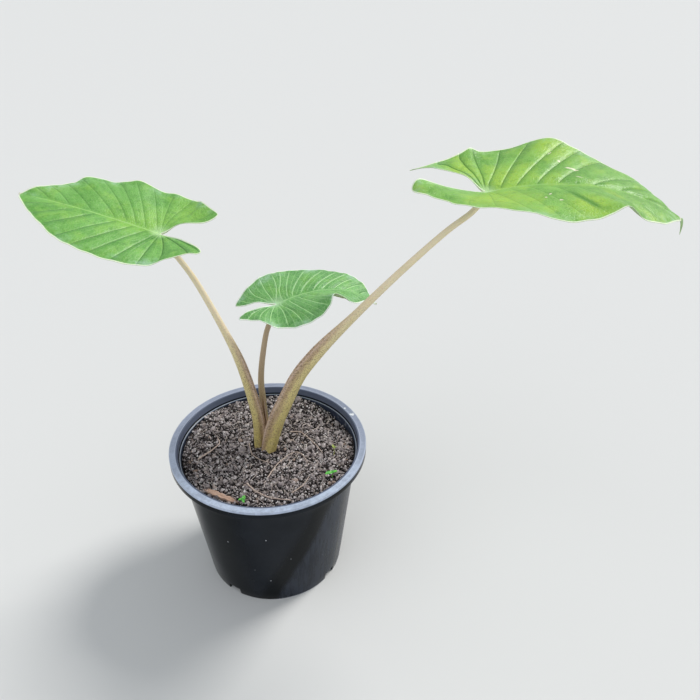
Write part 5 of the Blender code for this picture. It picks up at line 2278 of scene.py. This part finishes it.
def right_blade() -> LeafBlade:
    """Return the large right leaf's blade."""
    finish = BladeFinish(
        name="blade_right_skin", green=(0.150, 0.375, 0.048), light_green=(0.235, 0.505, 0.090),
        yellow=(0.400, 0.610, 0.050), shade=(0.080, 0.262, 0.032), vein=(0.32, 0.58, 0.15),
        lobeward=-1.0, crease_shade=0.60, lit_line=0.12, line_offset=0.85 * MM, shading=0.62,
        fine_veins=0.10, bloom_and_sheen=0.40,
        yellow_flushes_and_painted_light=(
            (0.018, 0.016, 0.034), (-0.022, 0.028, 0.026), (0.060, 0.058, 0.030),
            (0.010, -0.040, 0.040), (0.075, -0.052, 0.026),
        ),
        damage=(
            (0.0639, 0.0387, 0.0016, 0.0012, 0.0),
            (0.0740, 0.0268, 0.0070, 0.0016, -8.0),
            (0.0780, 0.0112, 0.0055, 0.0007, -25.0),
            (0.0575, 0.0500, 0.0030, 0.0008, 45.0),
            (0.0440, -0.0390, 0.0012, 0.0008, 0.0),
            (0.0480, -0.0318, 0.0014, 0.0008, 30.0),
            (0.0545, -0.0435, 0.0020, 0.0009, -20.0),
        ),
        dark_stripe=(0.058, -0.020, 0.083, -0.062),
    )
    return LeafBlade(
        name="blade_right", attachment=(0.195, 0.0, 0.428), length=0.169, half_width=0.074,
        lobe_length=0.056, heading=-5.0, pitch=14.0, roll=-9.0, droop=47.0, bend=9.0, twist=6.0,
        left=HalfBlade(
            fold=14.0, curl=0.0, lobe_lift=53.0,
            outline=(
                (162, 9, -2), (146, 26, -3), (128, 43, -4), (107, 58, -6), (83, 65, 0),
                (59, 73, 6), (31, 74, 0), (8, 70, 2), (-13, 64, 10), (-31, 54, 6),
                (-49, 43, -3), (-62, 32, -18), (-49, 25, -1), (-19, 16, 7),
            ),
            veins=(
                (1.6, 1.2), (2.5, 2.0), (3.45, 2.65), (4.6, 4.1), (5.3, 4.9), (6.0, 5.5),
                (6.5, 6.55), (6.85, 7.55), (8.2, 8.8), (9.5, 9.8), (10.7, 10.9),
            ),
        ),
        right=HalfBlade(
            fold=5.0, curl=-14.0, lobe_lift=29.0,
            outline=(
                (163, 9, -2), (142, 32, -8), (120, 42, -8), (100, 59, 3), (81, 69, -5),
                (56, 75, -7), (34, 74, -1), (11, 70, 4), (-10, 65, 7), (-32, 51, 6),
                (-48, 43, 6), (-61, 32, 3), (-58, 24, 12), (-31, 14, 8),
            ),
            veins=(
                (1.8, 1.3), (2.6, 2.1), (3.5, 3.1), (4.3, 4.0), (5.0, 4.75), (5.7, 5.4),
                (6.3, 6.1), (6.85, 7.0), (7.6, 8.2), (8.8, 9.2), (9.9, 9.9), (10.9, 11.0),
            ),
            relief=0.28,
        ),
        finish=finish, slot=Slot.BLADE_YELLOW, quilting=0.068, groove=0.34 * MM,
        tip_drop=0.0125,
    )


def stalks(left: LeafBlade, centre: LeafBlade, right: LeafBlade) -> list[LeafStalk]:
    """Return the three stalks for their blades."""
    pale = StalkFinish("stalk_pale_skin", sheath_end=0.54)
    brown = StalkFinish(
        "stalk_brown_skin",
        low=(0.44, 0.390, 0.150), middle=(0.44, 0.340, 0.170), top=(0.50, 0.390, 0.250),
        sheath=(0.25, 0.150, 0.105), blush=(0.47, 0.33, 0.25), sheath_end=0.40,
        fleck_share=0.55,
    )
    return [
        LeafStalk(
            "stalk_left",
            ((-10, 5.5, 150), (-10.2, 6, 181), (-13.9, 8, 205), (-22.6, 11.5, 244),
             (-34.4, 15.5, 278.5), (-55.8, 20.5, 328), (-72.5, 24, 356)),
            base_radius=0.0056, wing=0.0027, sheath_end=0.56, inner_side=(1.0, -0.1),
            blade=left, finish=pale, slot=Slot.STALK,
        ),
        LeafStalk(
            "stalk_centre",
            ((-1, 13.5, 150), (-4, 16, 178), (-5, 20, 198), (-6, 26, 218), (-3, 32, 244),
             (3, 39, 271)),
            base_radius=0.0041, wing=0.0012, sheath_end=0.40, inner_side=(0.1, -1.0),
            blade=centre, finish=brown, slot=Slot.STALK_BROWN,
        ),
        LeafStalk(
            "stalk_right",
            ((1.5, -3.5, 150), (5.5, -3.5, 165), (12.9, -3, 188.4), (23.3, -3, 213.6),
             (33.5, -2.5, 236.5), (46, -2, 256.5), (73, -2, 291.8), (116.8, -1, 341.8),
             (161.2, -0.5, 388.2), (184, 0, 408), (192, 0, 418)),
            base_radius=0.0066, wing=0.0052, sheath_end=0.53, inner_side=(-1.0, 0.0),
            blade=right, finish=pale, slot=Slot.STALK,
        ),
    ]


def seedlings() -> list[Seedling]:
    """Return the seedlings that grow in the soil."""
    bright = SproutFinish("sprout_bright", (0.16, 0.62, 0.07), (0.05, 0.36, 0.04))
    yellow = SproutFinish("sprout_yellow", (0.45, 0.52, 0.12), (0.26, 0.34, 0.07))
    pair = ((182.0, 16.0, 1.15), (5.0, 14.0, 0.80), (95.0, 35.0, 0.45))
    cluster = ((0.0, 5.0, 1.0), (120.0, 10.0, 0.8), (215.0, 5.0, 0.9), (300.0, 20.0, 0.6))
    thin = ((0.0, 55.0, 1.0), (140.0, 50.0, 0.8), (250.0, 35.0, 0.7))
    return [
        Seedling("seedling_right", (0.066, -0.042), 0.007, 0.0032, 20.0, pair, bright),
        Seedling("seedling_front", (-0.018, -0.076), 0.005, 0.0026, 75.0, cluster, bright),
        Seedling("seedling_sprig", (0.067, -0.009), 0.010, 0.0020, 130.0, thin, yellow),
    ]


def main() -> None:
    """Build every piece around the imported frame."""
    logging.basicConfig(level=logging.INFO, format="%(name)s %(message)s", stream=sys.stdout)
    pot = NurseryPot()
    pot.build()
    surface = SoilSurface()
    roots = SurfaceRoots(surface)
    PottingMix(pot, surface).build(list(roots.paths().values()))
    RootHairs(surface).build()
    roots.build()
    Rootstock().build()
    blades = (left_blade(), centre_blade(), right_blade())
    for blade in blades:
        blade.build()
    for stalk in stalks(*blades):
        stalk.build()
    BarkStrip().build()
    for seedling in seedlings():
        seedling.build()
    Studio().build()


if __name__ == "__main__":
    main()
